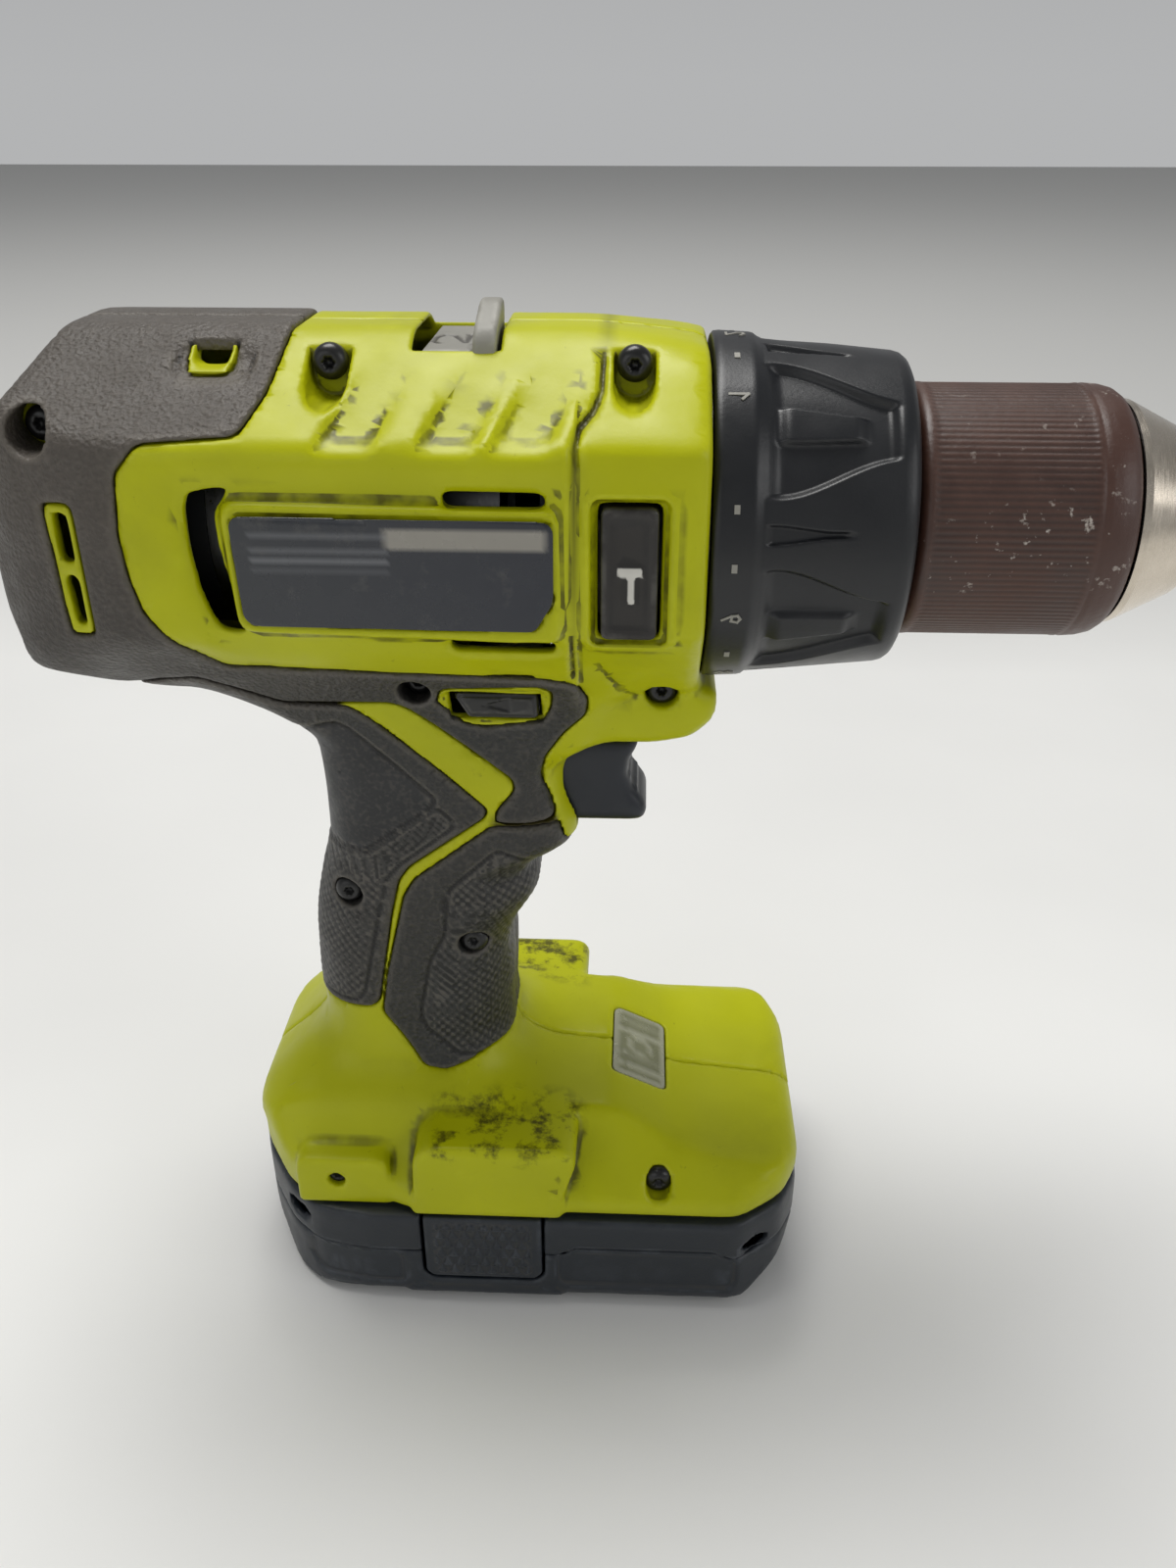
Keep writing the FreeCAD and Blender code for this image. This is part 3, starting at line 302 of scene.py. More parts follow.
def outer_form(grid):
    """Signed distance to the outside of the closed housing."""
    x, y, z = grid.axes
    side = outline(BODY_SIDE, grid, 1.2)
    plan = outline(both_edges(BODY_PLAN), grid, 1.5, XY)
    main = smooth_max(smooth_max(side, body_section(33, grid), 2.5), plan, 3)
    nose = smooth_max(side, body_section(31, grid), 2.5)
    body = np.where(x < GROOVE_X + 0.7, main, nose)
    level = np.linspace(HANDLE[0, 0], HANDLE[-1, 0], 203)
    mean = np.full(11, 1 / 11)
    rows = [np.pad(np.interp(level, HANDLE[:, 0], column), 5, "edge") for column in HANDLE.T[1:]]
    rear, front, half, radius = (
        np.interp(z, level, np.convolve(row, mean, "valid")).astype(np.float32) for row in rows)
    handle = rounded_box(x, y, ((rear + front) / 2, 0), ((front - rear) / 2, half), radius)
    handle = smooth_max(handle, np.maximum(40 - z, z - 141), 2)
    base = smooth_max(outline(BASE_SIDE, grid, 1.2), outline(both_sides(BASE_SECTION), grid, 1.2, YZ), 2)
    base = smooth_max(base, outline(both_edges(BASE_PLAN), grid, 1.5, XY), 2)
    waist = np.hypot(np.hypot((x - 18.5) / 9, (abs(y) - 38.5) / 12), (z - 45) / 13) - 1
    base = smooth_max(base, -waist * 9, 3)
    chin = smooth_max(outline(CHIN_SIDE, grid, 1.0), abs(y) - 13, 4)
    form = smooth_min(smooth_min(smooth_min(body, chin, 2), handle, 7), base, 9)
    for points, reach in ((BASE_PANEL, 36.4), (BASE_BOSS, 33.7)):
        raised = smooth_max(outline(points, grid, 0.8), abs(y) - reach, 1.5)
        form = smooth_min(form, raised, 1.2)
    return form.astype(np.float32)


# side outlines, (x, z) in millimetres
BODY_SKIN = [
    (-90, 202), (-32.4, 202), (-32.4, 199), (-35.3, 187), (-38.3, 182.2), (-53.5, 181.2), (-57.3, 177),
    (-58.4, 167.4), (-57.9, 160.7), (-56.5, 154.7), (-52.8, 149.7), (-46.6, 143.2), (-18.6, 141.8), (6, 141),
    (12.2, 139.6), (14.4, 135.3), (14, 131), (9.9, 127.2), (6.5, 122), (5.4, 117.1), (6.7, 112.5),
    (8.3, 107.2), (-4, 107.2), (-3, 110.3), (0.4, 114.6), (0, 116.8), (-17.9, 132.2),
    (-20.4, 133.5), (-39.6, 133.3), (-53, 139.7), (-67, 135.7), (-72, 130), (-90, 130),
]
REAR_GRIP = [
    (-67, 135.4), (-53, 139.4), (-39.6, 133), (-28.9, 132.6), (-26.5, 130.9), (-4.9, 110.3),
    (-5.3, 108.7), (-20.4, 97.4), (-22.7, 94.1), (-24.8, 85.5), (-28.6, 64.7), (-30.2, 63.2),
    (-60, 61.5), (-70, 120),
]
FRONT_GRIP = [
    (-3.9, 106.6), (8.3, 106.4), (9.4, 101.5), (16, 98), (14, 52.5), (-6.3, 52), (-15.6, 48.8),
    (-20, 49.6), (-27.9, 61.9), (-26.4, 71.2), (-21.7, 90.2), (-19.3, 94.4),
]
GRIP_PLATE = [
    (-44, 125.4), (-31.1, 129), (-28.9, 127.6), (-14.3, 112.5), (-14.4, 111.3), (-27.8, 101.4),
    (-31.4, 100.8), (-44, 100.4),
]
REAR_KNURL = [
    (-14, 110.8), (-10.8, 107.4), (-11.5, 106.2), (-21.7, 98.2), (-24.8, 94.8), (-26.9, 86.3), (-31.4, 66.5),
    (-33.1, 64.5), (-50, 63.9), (-50, 99.6), (-32, 100.3), (-27.8, 100.5),
]
FRONT_KNURL = [
    (12, 96.5), (3.9, 98.5), (-3.1, 101.6), (-13, 92.2), (-14.3, 81.4), (-17.5, 75.1), (-20.2, 62.1),
    (-19.3, 58.4), (-12.8, 52.3), (-7.3, 51.1), (12, 51),
]
SELECTOR_FRAME = [
    (-12.6, 134.6), (-11.3, 136.9), (-10.3, 137.4), (5.9, 138.2), (8, 137.2), (7.6, 133), (6, 129.9),
    (-4.4, 128.5), (-8.2, 129.3),
]
PANEL = [(-41.9, 173.2), (-41.2, 151.9), (10.5, 150.4), (10.1, 172.6)]
STICKER = [
    (-40.4, 170.2), (-39.5, 171.3), (8.6, 171), (9.6, 169.8), (9.4, 158), (6.4, 153), (-38.6, 153.4),
    (-39.9, 154.8),
]
CHANNEL = [
    (-47, 174.1), (-47.8, 171.5), (-47.9, 165.4), (-47.2, 158.6), (-46, 154.4), (-44.6, 151.6),
    (-38.5, 150.7), (-41.4, 152.6), (-41.9, 158.7), (-43.1, 165.4), (-43.2, 171.2), (-39.6, 175.5),
]
TRAY = [(-50.5, 176.6), (12.2, 175.8), (12.2, 147.6), (-46.5, 148.2)]
VENTS = [
    [(-7.6, 172.3), (8.4, 172.2), (8.2, 174.6), (-7.8, 174.8)],
    [(-7.6, 148), (9.6, 147.6), (9.4, 150.2), (-7.8, 150.7)],
]
FLUTES = [
    [(-26.8, 180.9), (-20.8, 191.2), (-12.2, 191.2), (-18.2, 180.9)],
    [(-11.4, 180.9), (-5.4, 191.2), (3, 191.2), (-2.8, 180.9)],
    [(-0.2, 180.9), (5.8, 191.2), (14.2, 191.2), (8.5, 180.9)],
]
LOUVRE = [(-70.8, 171.6), (-65.7, 171.9), (-65.7, 150.4), (-69.8, 150)]
LOUVRE_SLOTS = [
    [(-69.4, 170.4), (-66.7, 170.6), (-66.7, 162.2), (-69.3, 162.1)],
    [(-69.2, 160.3), (-66.7, 160.3), (-66.7, 151.6), (-68.7, 151.4)],
]
TOP_WINDOW = [(-51.5, 196.5), (-50.9, 188.8), (-38.3, 188.9), (-38.3, 196.5)]
TOP_SLOT = [(-48.4, 193.2), (-48.3, 189.9), (-42.7, 189.9), (-42.3, 193.2)]
BODY_GROOVE = [
    (16.8, 198), (16.5, 190.4), (16.4, 187.4), (15.3, 185.2), (13.1, 183.1), (12.5, 181.1), (12, 141.5),
]
BASE_INSET = [(-16.2, 27.4), (-16.2, 36.6), (9.6, 36.6), (7.6, 27.4)]
GUARD = [
    (13.5, 125.4), (8.8, 121.6), (5.9, 116), (5.7, 109.5), (7.5, 103.4), (10.2, 101.1), (12.5, 104.7),
    (11, 107.3), (9, 113.6), (9.8, 119.8), (14.2, 123.8),
]
CHIN_LIP = [(16, 144), (17.7, 140.8), (23.4, 131.3), (26.8, 129), (31.5, 127.2), (36.3, 128.7), (38.2, 133)]
SCREWS = [
    # x, z, y of the head's underside, pocket radius, what lines the pocket
    (-71.5, 182.3, -20, 3.6, "cap"), (-26.7, 190.6, -13, 3.3, ""), (21.4, 190.6, -13, 3.3, ""),
    (-15.9, 136.6, -14, 2.9, "cap"), (27.2, 133.2, -9, 3.1, ""), (-32.8, 90.3, -12, 2.9, "grip"),
    (-8.9, 78.9, -12, 2.9, "grip"), (29.2, 31.7, -29, 2.6, ""), (-37, 31.3, -29, 1.8, ""),
]

half = Grid((-88, -38.5, 23), (62, 1.5, 200), STEP)
x, y, z = half.axes


def side_outline(points, radius=0.4):
    return outline(points, half, radius)


closed = outer_form(half)
seam = y + 0.06
body_skin_area = side_outline(BODY_SKIN)
grip_area = np.minimum(side_outline(REAR_GRIP), side_outline(FRONT_GRIP)) - 0.35
frame_area = side_outline(SELECTOR_FRAME)
louvre = side_outline(LOUVRE, 0.5)
top_window = side_outline(TOP_WINDOW, 0.5)
flank = within(y + 14, 2)
body_skin_area = np.maximum(body_skin_area, -frame_area)
window_frame = side_outline([(x1 + (0.2 if x1 < -45 else -0.2), z1) for x1, z1 in TOP_SLOT], 0.2) - 0.9
body_skin_area = np.maximum(body_skin_area, np.where(y < -12, -np.minimum(louvre, window_frame), -9))

# raised and recessed areas of the hard shell, in millimetres of depth
button_area = rounded_box(x, z, (21.2, 161.5), (6.2, 12.2), 1.6)
flutes = stamped(*((1.4, side_outline(flute, 0.6), 1.7) for flute in FLUTES))
relief = flutes * np.clip((191.6 - z) / 9, 0.1, 1) + stamped(
    (0.8, side_outline(TRAY, 1.0), 1.6), (-1.8, side_outline(PANEL, 1.0), 0.7),
    (0.6, side_outline(STICKER, 0.6) - 0.4, 0.5), (1.1, polyline(BODY_GROOVE, x, z) - 0.5, 0.6),
    (-0.5, button_area - 1.2, 1.2), (1.5, button_area, 0.6), (0.35, side_outline(BASE_INSET, 0.5), 0.5),
    (-0.5, side_outline(GUARD), 0.9), (0.5, polyline(CHIN_LIP, x, z) - 0.3, 0.8),
    (0.5, abs(frame_area + 1.0) - 0.35, 0.5))
relief = (relief * flank).astype(np.float32)
window_relief = (within(top_window, 1.0) * flank).astype(np.float32)

# the shell's own openings; each is a field that is negative where material is taken away
KEY = (21.15, 161.6)  # middle of the mode button, in x and z
STEM_X = -23  # middle of the battery's stem
trigger_mouth = common(abs(y) - 8.5, 102.2 - z, z - 121.7, -12 - x)
selector_slot = np.maximum(abs(x + 2.1) - 8.1, abs(z - 133.25) - 3.1)
openings = [
    trigger_mouth,
    selector_slot,
    np.maximum(np.hypot(y, z - SPINDLE) - 22.6, 14 - x),  # nose
    common(abs(x + 6.9) - 7.0, abs(y) - 13.2, 188.4 - z),  # speed selector
    common(abs(x + 10.9) - 11.0, abs(y) - 13.2, 188.4 - z, closed + 1.0),  # and the space it slides in
    common(rounded_box(x, z, KEY, (4.95, 11.2), 1.0), y + 18),
    common(abs(x - STEM_X) - 11, abs(y) - 11, z - 80),  # the battery's stem
    np.maximum(side_outline(CHANNEL), y + 20),
    np.maximum(side_outline(TOP_SLOT, 0.2), y + 8),
    z - 25.2 + 0 * x,  # open underside
]
openings += [np.maximum(side_outline(vent, 0.2), y + 20) for vent in VENTS]
openings += [np.maximum(side_outline(slot, 0.3), y + 12) for slot in LOUVRE_SLOTS]
LAMP = (24.9, 0)  # middle of the work lamp, in x and y
lamp_area = common(rounded_box(x, y, LAMP, (5.9, 10.9), 1.6), 32 - z, z - 50)


def bore(screw, grow=0.0, deeper=0.0):
    """A screw's pocket, wider and deeper by the given amounts; the two on the top have a flat upper edge."""
    sx, sz, head, radius, _ = screw
    if sz > 189:
        around = np.maximum(polyline([(sx, sz - 2.4), (sx, sz + 9)], x, z) - radius, z - sz - 3.1)
    else:
        around = np.hypot(x - sx, z - sz) - radius
    return np.maximum(around - grow, y - head - deeper)


def without(field, cuts, k=0.6):
    for cut in cuts:
        field = smooth_max(field, -cut, k)
    return field


def knurl(area):
    """Small diamonds that stand up around the handle, inside a side outline."""
    cell, depth = 2.1, 0.28
    centre = np.interp(z, HANDLE[:, 0], (HANDLE[:, 1] + HANDLE[:, 2]) / 2)
    around = np.arctan2(y, x - centre) * 17
    first = abs(((around * 1.3 + z) / cell) % 1 - 0.5) * 2
    second = abs(((around * 1.3 - z) / cell) % 1 - 0.5) * 2
    grooves = np.maximum(first, second) ** 3
    return (depth * (grooves - 0.4) * within(area + 0.8, 0.8)).astype(np.float32)


rear_knurl_area = side_outline(REAR_KNURL, 0.5)
front_knurl_area = side_outline(FRONT_KNURL, 0.5)
plate_area = side_outline(GRIP_PLATE, 0.5)
outlines = union(abs(rear_knurl_area), abs(front_knurl_area), abs(plate_area))
grip_relief = 0.45 * within(outlines - 0.3, 0.6) + knurl(rear_knurl_area) + knurl(front_knurl_area)
grip_relief = grip_relief + 0.25 * within(plate_area, 0.6)
grip_marks = {"knurl": within(np.minimum(rear_knurl_area, front_knurl_area) + 0.5, 1),
              "plate": within(plate_area, 0.6)}
# each soft skin: its name, CAD node, outline, relief, how coarse its flat faces may be, and marks
SKINS = [
    ("cap", "overmold", body_skin_area, window_relief, 0.08, None),
    ("grip", "handle_grip", grip_area, grip_relief, 0.05, grip_marks),
]


def lined(skin, name):
    """A skin with a tube down each pocket that it lines."""
    for screw in SCREWS:
        if screw[4] == name:
            skin = np.minimum(skin, np.maximum(bore(screw, LINING), closed - PROUD))
    return skin


def build_half(hand, mirror):
    """The hard shell of one side, then its soft skins."""
    screws_here = [] if mirror else SCREWS
    skins = union(*(skin[2] for skin in SKINS))
    outside = np.maximum(closed + relief, np.minimum(closed + SKIN, -skins + 0 * closed))
    shell = np.maximum(outside, -(closed + WALL))
    for screw in screws_here:
        post = np.maximum(bore(screw, 1.6 + (LINING if screw[4] else 0), 1.5), outside)
        shell = np.minimum(shell, post)
    pockets = [bore(screw, LINING if screw[4] else 0.0) for screw in screws_here]
    shell = without(shell, openings + pockets + [lamp_area])
    shell = smooth_max(shell, seam, 0.5)
    housing = carve(f"shell_{hand}", shell, half, 0.12, mirror, {"grime_and_shade": gap_shade_line, "scuff": scuffed})
    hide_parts(f"housing_{hand}")
    cuts = [trigger_mouth, selector_slot] + [bore(screw) for screw in screws_here]
    pieces = [housing]
    for name, node, area, surface, detail, marks in SKINS:
        skin = smooth_max(closed - PROUD + surface, area + 0.25, 1.0)
        skin = np.maximum(skin, -(closed + SKIN))
        skin = smooth_max(skin if mirror else lined(skin, name), seam, 0.5)
        skin = carve(f"{name}_{hand}", without(skin, cuts), half, detail, mirror, marks)
        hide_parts(f"{node}_{hand}")
        pieces.append(skin)
    for item in pieces:
        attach(item, "housing")
    return pieces


# painted shade, also standing for grime: a mask along the gaps between the soft skins and the shell, and
# along the nose groove
gap_shade_line = within(union(
    polyline([(-30, 132.8), (-39.6, 133.1), (-53, 139.5), (-67, 135.5), (-74, 130)], x, z) - 0.9,
    polyline([(-3.6, 107), (7.4, 106.9)], x, z) - 0.9,
    polyline(BODY_GROOVE, x, z) - 0.25), 0.5)
scuffed = within(rounded_box(x, z, (-2, 43.2), (15, 2.4), 2), 2) * within(y + 20, 4)
right_pieces = build_half("right", False)
left_pieces = build_half("left", True)


# ---- other moulded pieces
def fine(low, high, step=0.25):
    """The grid of a small piece."""
    return Grid(low, high, step)


# work lamp lens, with bars on its inside
lamp = fine((17, -13, 29), (33, 13, 46), 0.2)
lamp_top = outer_form(lamp) + 0.25


def lamp_window(half, radius):
    return rounded_box(lamp.x, lamp.y, LAMP, half, radius)


inner_bar, outer_bar = (abs(abs(lamp.y) - at) for at in (3.6, 7.4))
circle = abs(np.hypot(lamp.x - LAMP[0], lamp.y) - 2.2)
lens = common(lamp_top, -(lamp_top + 1.8), lamp_window((5.7, 10.7), 1.5))
bars = union(inner_bar, outer_bar) - 0.25 + 0 * lamp.z
bars = common(bars, lamp_top + 1.5, -(lamp_top + 2.6), lamp_window((4.6, 9.6), 1))
ring = common(circle - 0.35, lamp_top + 1.5, -(lamp_top + 2.8))
pattern = union(inner_bar - 0.5, outer_bar - 0.3, circle - 0.6, -lamp_window((4.7, 9.7), 1)) + 0 * lamp.z
lens = carve("lamp_lens", union(lens, bars, ring), lamp, 0.05, marks={"bars": within(pattern, 0.5)})
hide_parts("led_lens")
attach(lens, "housing")

# trigger: a curved blade with three finger ridges
TRIGGER = [
    (-2, 104), (-2, 117.5), (9.2, 119.4), (14.5, 121.2), (23.6, 121), (22.9, 118.6), (21.6, 116.2),
    (21.3, 113), (22.4, 109.8), (24.6, 107), (25.2, 105), (24.4, 103.2), (22, 102.9), (4, 102.8),
]
tg = fine((-4, -10, 100), (28, 10, 124))
blade = smooth_max(outline(TRIGGER, tg, 0.5), abs(tg.y) - 8.0, 3.0)
for height in (115.6, 112.6, 109.6):
    ridge = common(abs(tg.z - height) - 0.55, abs(tg.y) - 5.4, 17 - tg.x)
    blade = blade - 0.45 * within(ridge, 0.8)
blade = union(blade, common(np.hypot(tg.y, tg.z - 111) - 2.2, -3.9 - tg.x, tg.x))
trigger = carve("trigger_blade", blade, tg, 0.05)
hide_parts("trigger")
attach(trigger, "trigger")

# direction selector: a bar with a small arrow on each end
bar = fine((-12, -22, 128), (8, 22, 139))
BAR_SIDE = [
    (-9.6, 135.2), (-8.6, 135.85), (5.0, 135.85), (5.5, 135.4), (5.5, 131.2), (5.0, 130.65), (-6.9, 130.65),
]
bar_ends = within(18.5 - abs(bar.y), 0.5)
arrow = polygon([(-4.4, 133.4), (0.4, 134.7), (0.4, 132.1)], bar.x, bar.z)
edge_line = abs(polygon(BAR_SIDE, bar.x, bar.z) + 0.8) - 0.15
key = smooth_max(outline(BAR_SIDE, bar, 0.25), abs(bar.y) - 19.8, 1.6)
key = key + 0.35 * within(arrow, 0.4) * bar_ends + 0.2 * within(edge_line, 0.4) * bar_ends
selector = carve("selector_bar", key, bar, 0.04)
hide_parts("direction_selector")
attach(selector, "direction_selector")

# speed selector: a plate under the slot, a raised part with the number 2, and an upright tab
sp = fine((-15, -16, 185), (10, 14, 200))
top = outer_form(sp)
plate = common(abs(sp.x + 2.8) - 10.8, abs(sp.y) - 8.6, abs(sp.z - 187.4) - 0.8)
rise = common(rounded_box(sp.x, sp.y, (-6.8, 0), (5.8, 12.7), 1.2), 187.9 - sp.z, sp.z - 191.9, top + 1.4)
tab_side = [(-14.2, 190), (-14.2, 193.6), (-13, 195.4), (-5.2, 198.6), (-1.4, 198.7), (3, 190)]
leaning = sp.x + 2.4 - (sp.z - 192) * 0.06
tab = smooth_max(outline(tab_side, sp, 0.4, YZ), abs(leaning) - 1.9, 1.0)
DIGIT_TWO = [
    (-10.8, 5.0), (-11.9, 3.4), (-11.9, -0.4), (-10.6, -2.6), (-9.0, -2.0), (-6.4, 4.4), (-6.4, -2.8),
]
digit = within(polyline(DIGIT_TWO, sp.x, -sp.y) - 0.45, 0.5) * within(191 - sp.z, 0.4)
slider = union(plate, smooth_min(rise, tab, 0.8)) + 0.35 * digit
slider = carve("speed_slider", slider, sp, 0.04, marks={"sign": digit})
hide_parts("speed_selector")
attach(slider, "speed_selector")

# mode button: two caps on a yoke round the gears, with a plain raised hammer sign
mb = fine((9, -33, 138), (28, 31, 190), 0.4)
YOKE_SHIFT = -1.2  # how far the button rests from the middle


def key_face(centre, half, radius):
    return rounded_box(mb.x, mb.z, centre, half, radius)


key_y = mb.y - YOKE_SHIFT
reach = abs(key_y)
yoke = abs(np.hypot(key_y, mb.z - SPINDLE) - 24.8) - 1.9
yoke = common(yoke, abs(mb.x - 13.4) - 2.8, abs(mb.z - SPINDLE) - 24.2)
caps = common(key_face(KEY, (4.5, 10.8), 1.2), abs(reach - 27.3) - 3.0)
caps = smooth_max(caps, reach - 30.2 + 0.5 * within(key_face(KEY, (3.2, 9.2), 0.8), 0.8), 0.8)
hammer = union(key_face((21.2, 162.2), (1.9, 0.7), 0.2), key_face((21.5, 159.4), (0.55, 2.5), 0.2))
hammer = within(hammer, 0.4) * within(28 - reach, 0.5)
links = common(abs(mb.x - 15.6) - 1.8, abs(mb.z - KEY[1]) - 8, abs(reach - 25.2) - 0.9)
button = carve("mode_key", union(yoke, caps - 0.35 * hammer, links), mb, 0.05, marks={"sign": hammer})
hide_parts("mode_button")
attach(button, "mode_button")

# badge plates on both flanks, blank but for plain bars
bg = fine((-44, -34.6, 148), (13, -33, 176), 0.2)
badge = smooth_max(outline(STICKER, bg, 0.6), abs(bg.y + 33.85) - 0.16, 0.15)
tile = rounded_box(bg.x, bg.z, (-4, 168.2), (12.4, 1.6), 0.4) + 0 * bg.y
printed = (bg.x > -38) & (bg.x < -16) & (bg.z > 161.5) & (bg.z < 169)
lines = np.where(printed, abs((bg.z - 161.5) % 1.9 - 0.95) - 0.3, 9) + 0 * bg.y
badge_marks = {"tile": within(tile, 0.3), "lines": within(lines, 0.3)}
for hand, mirror in (("right", False), ("left", True)):
    plate = carve(f"badge_{hand}", badge, bg, 0.02, mirror, badge_marks)
    if hand == "right":
        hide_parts("side_panels")
    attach(plate, "housing")

# ---- battery pack
PACK_SIDE = [(-50, 0), (46, 0), (57.5, 9), (59.5, 14), (59.5, 25), (-59.5, 25), (-59.5, 14), (-57.5, 8)]
PACK_SECTION = [(33.5, 0), (37, 4), (37, 25)]
PACK_PLAN = [(-59.5, 7), (-55.6, 18), (-48.5, 29), (-42, 34.4), (-30, 37), (45, 37), (55, 29.5), (59.5, 20)]


def pack_form(g):
    """The outside of the flat part of the pack."""
    form = smooth_max(outline(PACK_SIDE, g, 1.0), outline(both_sides(PACK_SECTION), g, 1.0, YZ), 2)
    form = smooth_max(form, outline(both_edges(PACK_PLAN), g, 1.5, XY), 1.5)
    return common(form, -g.z, g.z - 25)


pk = Grid((-61, -38.5, -1.5), (61, 38.5, 26), STEP)
px, py, pz = pk.axes
FRONT_RECESS = [(9.5, 15.6), (44, 15.6), (46, 13.4), (46, 7.4), (44, 5.6), (9.5, 5.6), (8.4, 7), (8.4, 14.2)]
REAR_RECESS = [
    (-44.5, 13.8), (-24.5, 13.8), (-23.8, 12.8), (-23.8, 6.2), (-24.5, 5.2), (-42, 5.2), (-44.8, 8),
]
LATCH = [(-19.9, 26), (-19.9, 8.6), (-18.2, 6.6), (4.2, 6.6), (5.8, 8.6), (5.8, 26)]
BUMP = [(-23.5, 3.4), (-21, 5.2), (7.2, 5.2), (9.5, 3.4), (9.5, -2), (-23.5, -2)]
front_recess, rear_recess, bump, latch_area = (
    outline(points, pk, 0.5) for points in (FRONT_RECESS, REAR_RECESS, BUMP, LATCH))
feet = [(1.4, rounded_box(px, pz, (at, 0), (5, 1.6), 0.5), 0.8) for at in (-38, -12, 18, 38)]
deep = stamped(
    (0.7, front_recess, 0.6), (0.7, rear_recess, 0.6), (-0.6, bump, 0.8),
    (2.4, np.hypot((px - 49.5) / 1.4, pz - 16.6) - 1.9, 0.6),
    (2.4, np.hypot((px + 46.5) / 1.2, pz - 19.5) - 2.2, 0.6), *feet)
seam_height = 14.4 + 2 * within(11 - px, 3) * within(px - 42.5, 3)
deep = deep * within(20 - abs(py), 2) + 0.7 * within(abs(pz - seam_height) - 0.35, 0.5)
latch_cut = common(latch_area, 32.4 - abs(py))
tongue_cut = common(abs(px + 7) - 6.4, 31.1 - abs(py), 22.4 - pz)
pack = pack_form(pk)
pack = without(np.maximum(pack + deep, -(pack + 1.6)), [latch_cut, tongue_cut])
upper = carve("pack_upper", np.maximum(pack, seam_height - pz), pk, 0.08)
lower = carve("pack_lower", np.maximum(pack, pz - seam_height), pk, 0.08)
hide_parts("battery_case_upper")
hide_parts("battery_case_lower")

# the stem that carries the contacts
st = fine((-36, -13, 20), (-10, 13, 75), 0.5)
stem_block = smooth_max(rounded_box(st.x, st.y, (STEM_X, 0), (10.5, 10.5), 3), abs(st.z - 48) - 24.6, 1.2)
ribs = 0.8 * within(abs(abs(st.y) - 4) - 1, 0.8) * within(st.z - 66, 2)
contact = common(abs(abs(st.y) - 11.6) - 1.6, abs(st.x - STEM_X) - 3.2, 58 - st.z)
stem = carve("pack_stem", without(stem_block + ribs, [contact]), st, 0.05)
# cells: four lie across the pack, trimmed to its corners, and one stands in the stem
CELL_RADIUS, CELL_REACH = 9.1, 32.5
cg = Grid((-56, -34, 1), (46, 34, 70), 0.7)
across = union(*(np.hypot(cg.x - at, cg.z - 12) - CELL_RADIUS for at in (-42.6, -3.4, 15.2, 33.8)))
across = smooth_max(np.maximum(across, abs(cg.y) - CELL_REACH), pack_form(cg) + 2.2, 0.8)
upright = np.maximum(np.hypot(cg.x - STEM_X, cg.y) - CELL_RADIUS, abs(cg.z - 35.5) - CELL_REACH)
cells = carve("cells", union(across, upright), cg, 0.1)
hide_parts("battery_cells")
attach(cells, "battery")
for item in (upper, lower, stem):
    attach(item, "battery")

# side latches of the pack: a pad with rows of small wedges
PAD = [(-19.3, 24.6), (-19.3, 9), (-17.8, 7.5), (3.8, 7.5), (5.3, 9), (5.3, 24.6)]
TOOTH = 2.6  # spacing of the wedges
lg = fine((-21, -38, 5), (8, -33, 32))
row = np.floor((lg.z - 9) / TOOTH)
rise = (lg.z - 9) / TOOTH - row
wedge = ((lg.x + 17 + TOOTH / 2 * (row % 2)) / TOOTH) % 1 - 0.5
teeth = within(abs(wedge) - 0.42 * (1 - rise), 0.2)
teeth = teeth * within(rounded_box(lg.x, lg.z, (-7, 16.3), (9.8, 7), 1), 0.5)
pad = smooth_max(outline(PAD, lg, 0.3), abs(lg.y + 35.85) - 0.95, 0.8)
pad = pad - 0.6 * teeth * within(lg.y + 35.9, 0.4)
tongue = common(abs(lg.x + 7) - 5.8, abs(lg.y + 34.6) - 0.7, abs(lg.z - 26.5) - 3.5)
for hand, mirror in (("right", False), ("left", True)):
    latch = carve(f"latch_pad_{hand}", union(pad, tongue), lg, 0.03, mirror)
    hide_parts(f"battery_latch_{hand}")
    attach(latch, f"latch_{hand}")

# ---- turned pieces
TURNS = 720


def sector(angle, count, offset=0.0):
    """Signed angle, in degrees, from the nearest of count evenly spread directions."""
    pitch = 360 / count
    return (np.degrees(angle) - offset + pitch / 2) % pitch - pitch / 2


def ramp(value, start, end):
    """0 before start, 1 after end, smooth between."""
    t = np.clip((value - start) / (end - start), 0, 1)
    return t * t * (3 - 2 * t)


def plateau(value, start, full, falling, end):
    """0 outside start to end, 1 from full to falling."""
    return ramp(value, start, full) * (1 - ramp(value, falling, end))


# torque collar: five long wedge recesses, and a short notch in each land between them
COLLAR = [
    (33.9, 24.5), (62.9, 23.7), (62.9, 23.05), (66.5, 23.05), (66.5, 24.8), (66.1, 25.6), (65.3, 26.2),
    (64.2, 26.5), (41.6, 28.6), (40.9, 29.1), (40.2, 29.25), (35.2, 29.5), (34.3, 29.4), (33.9, 28.9),
]


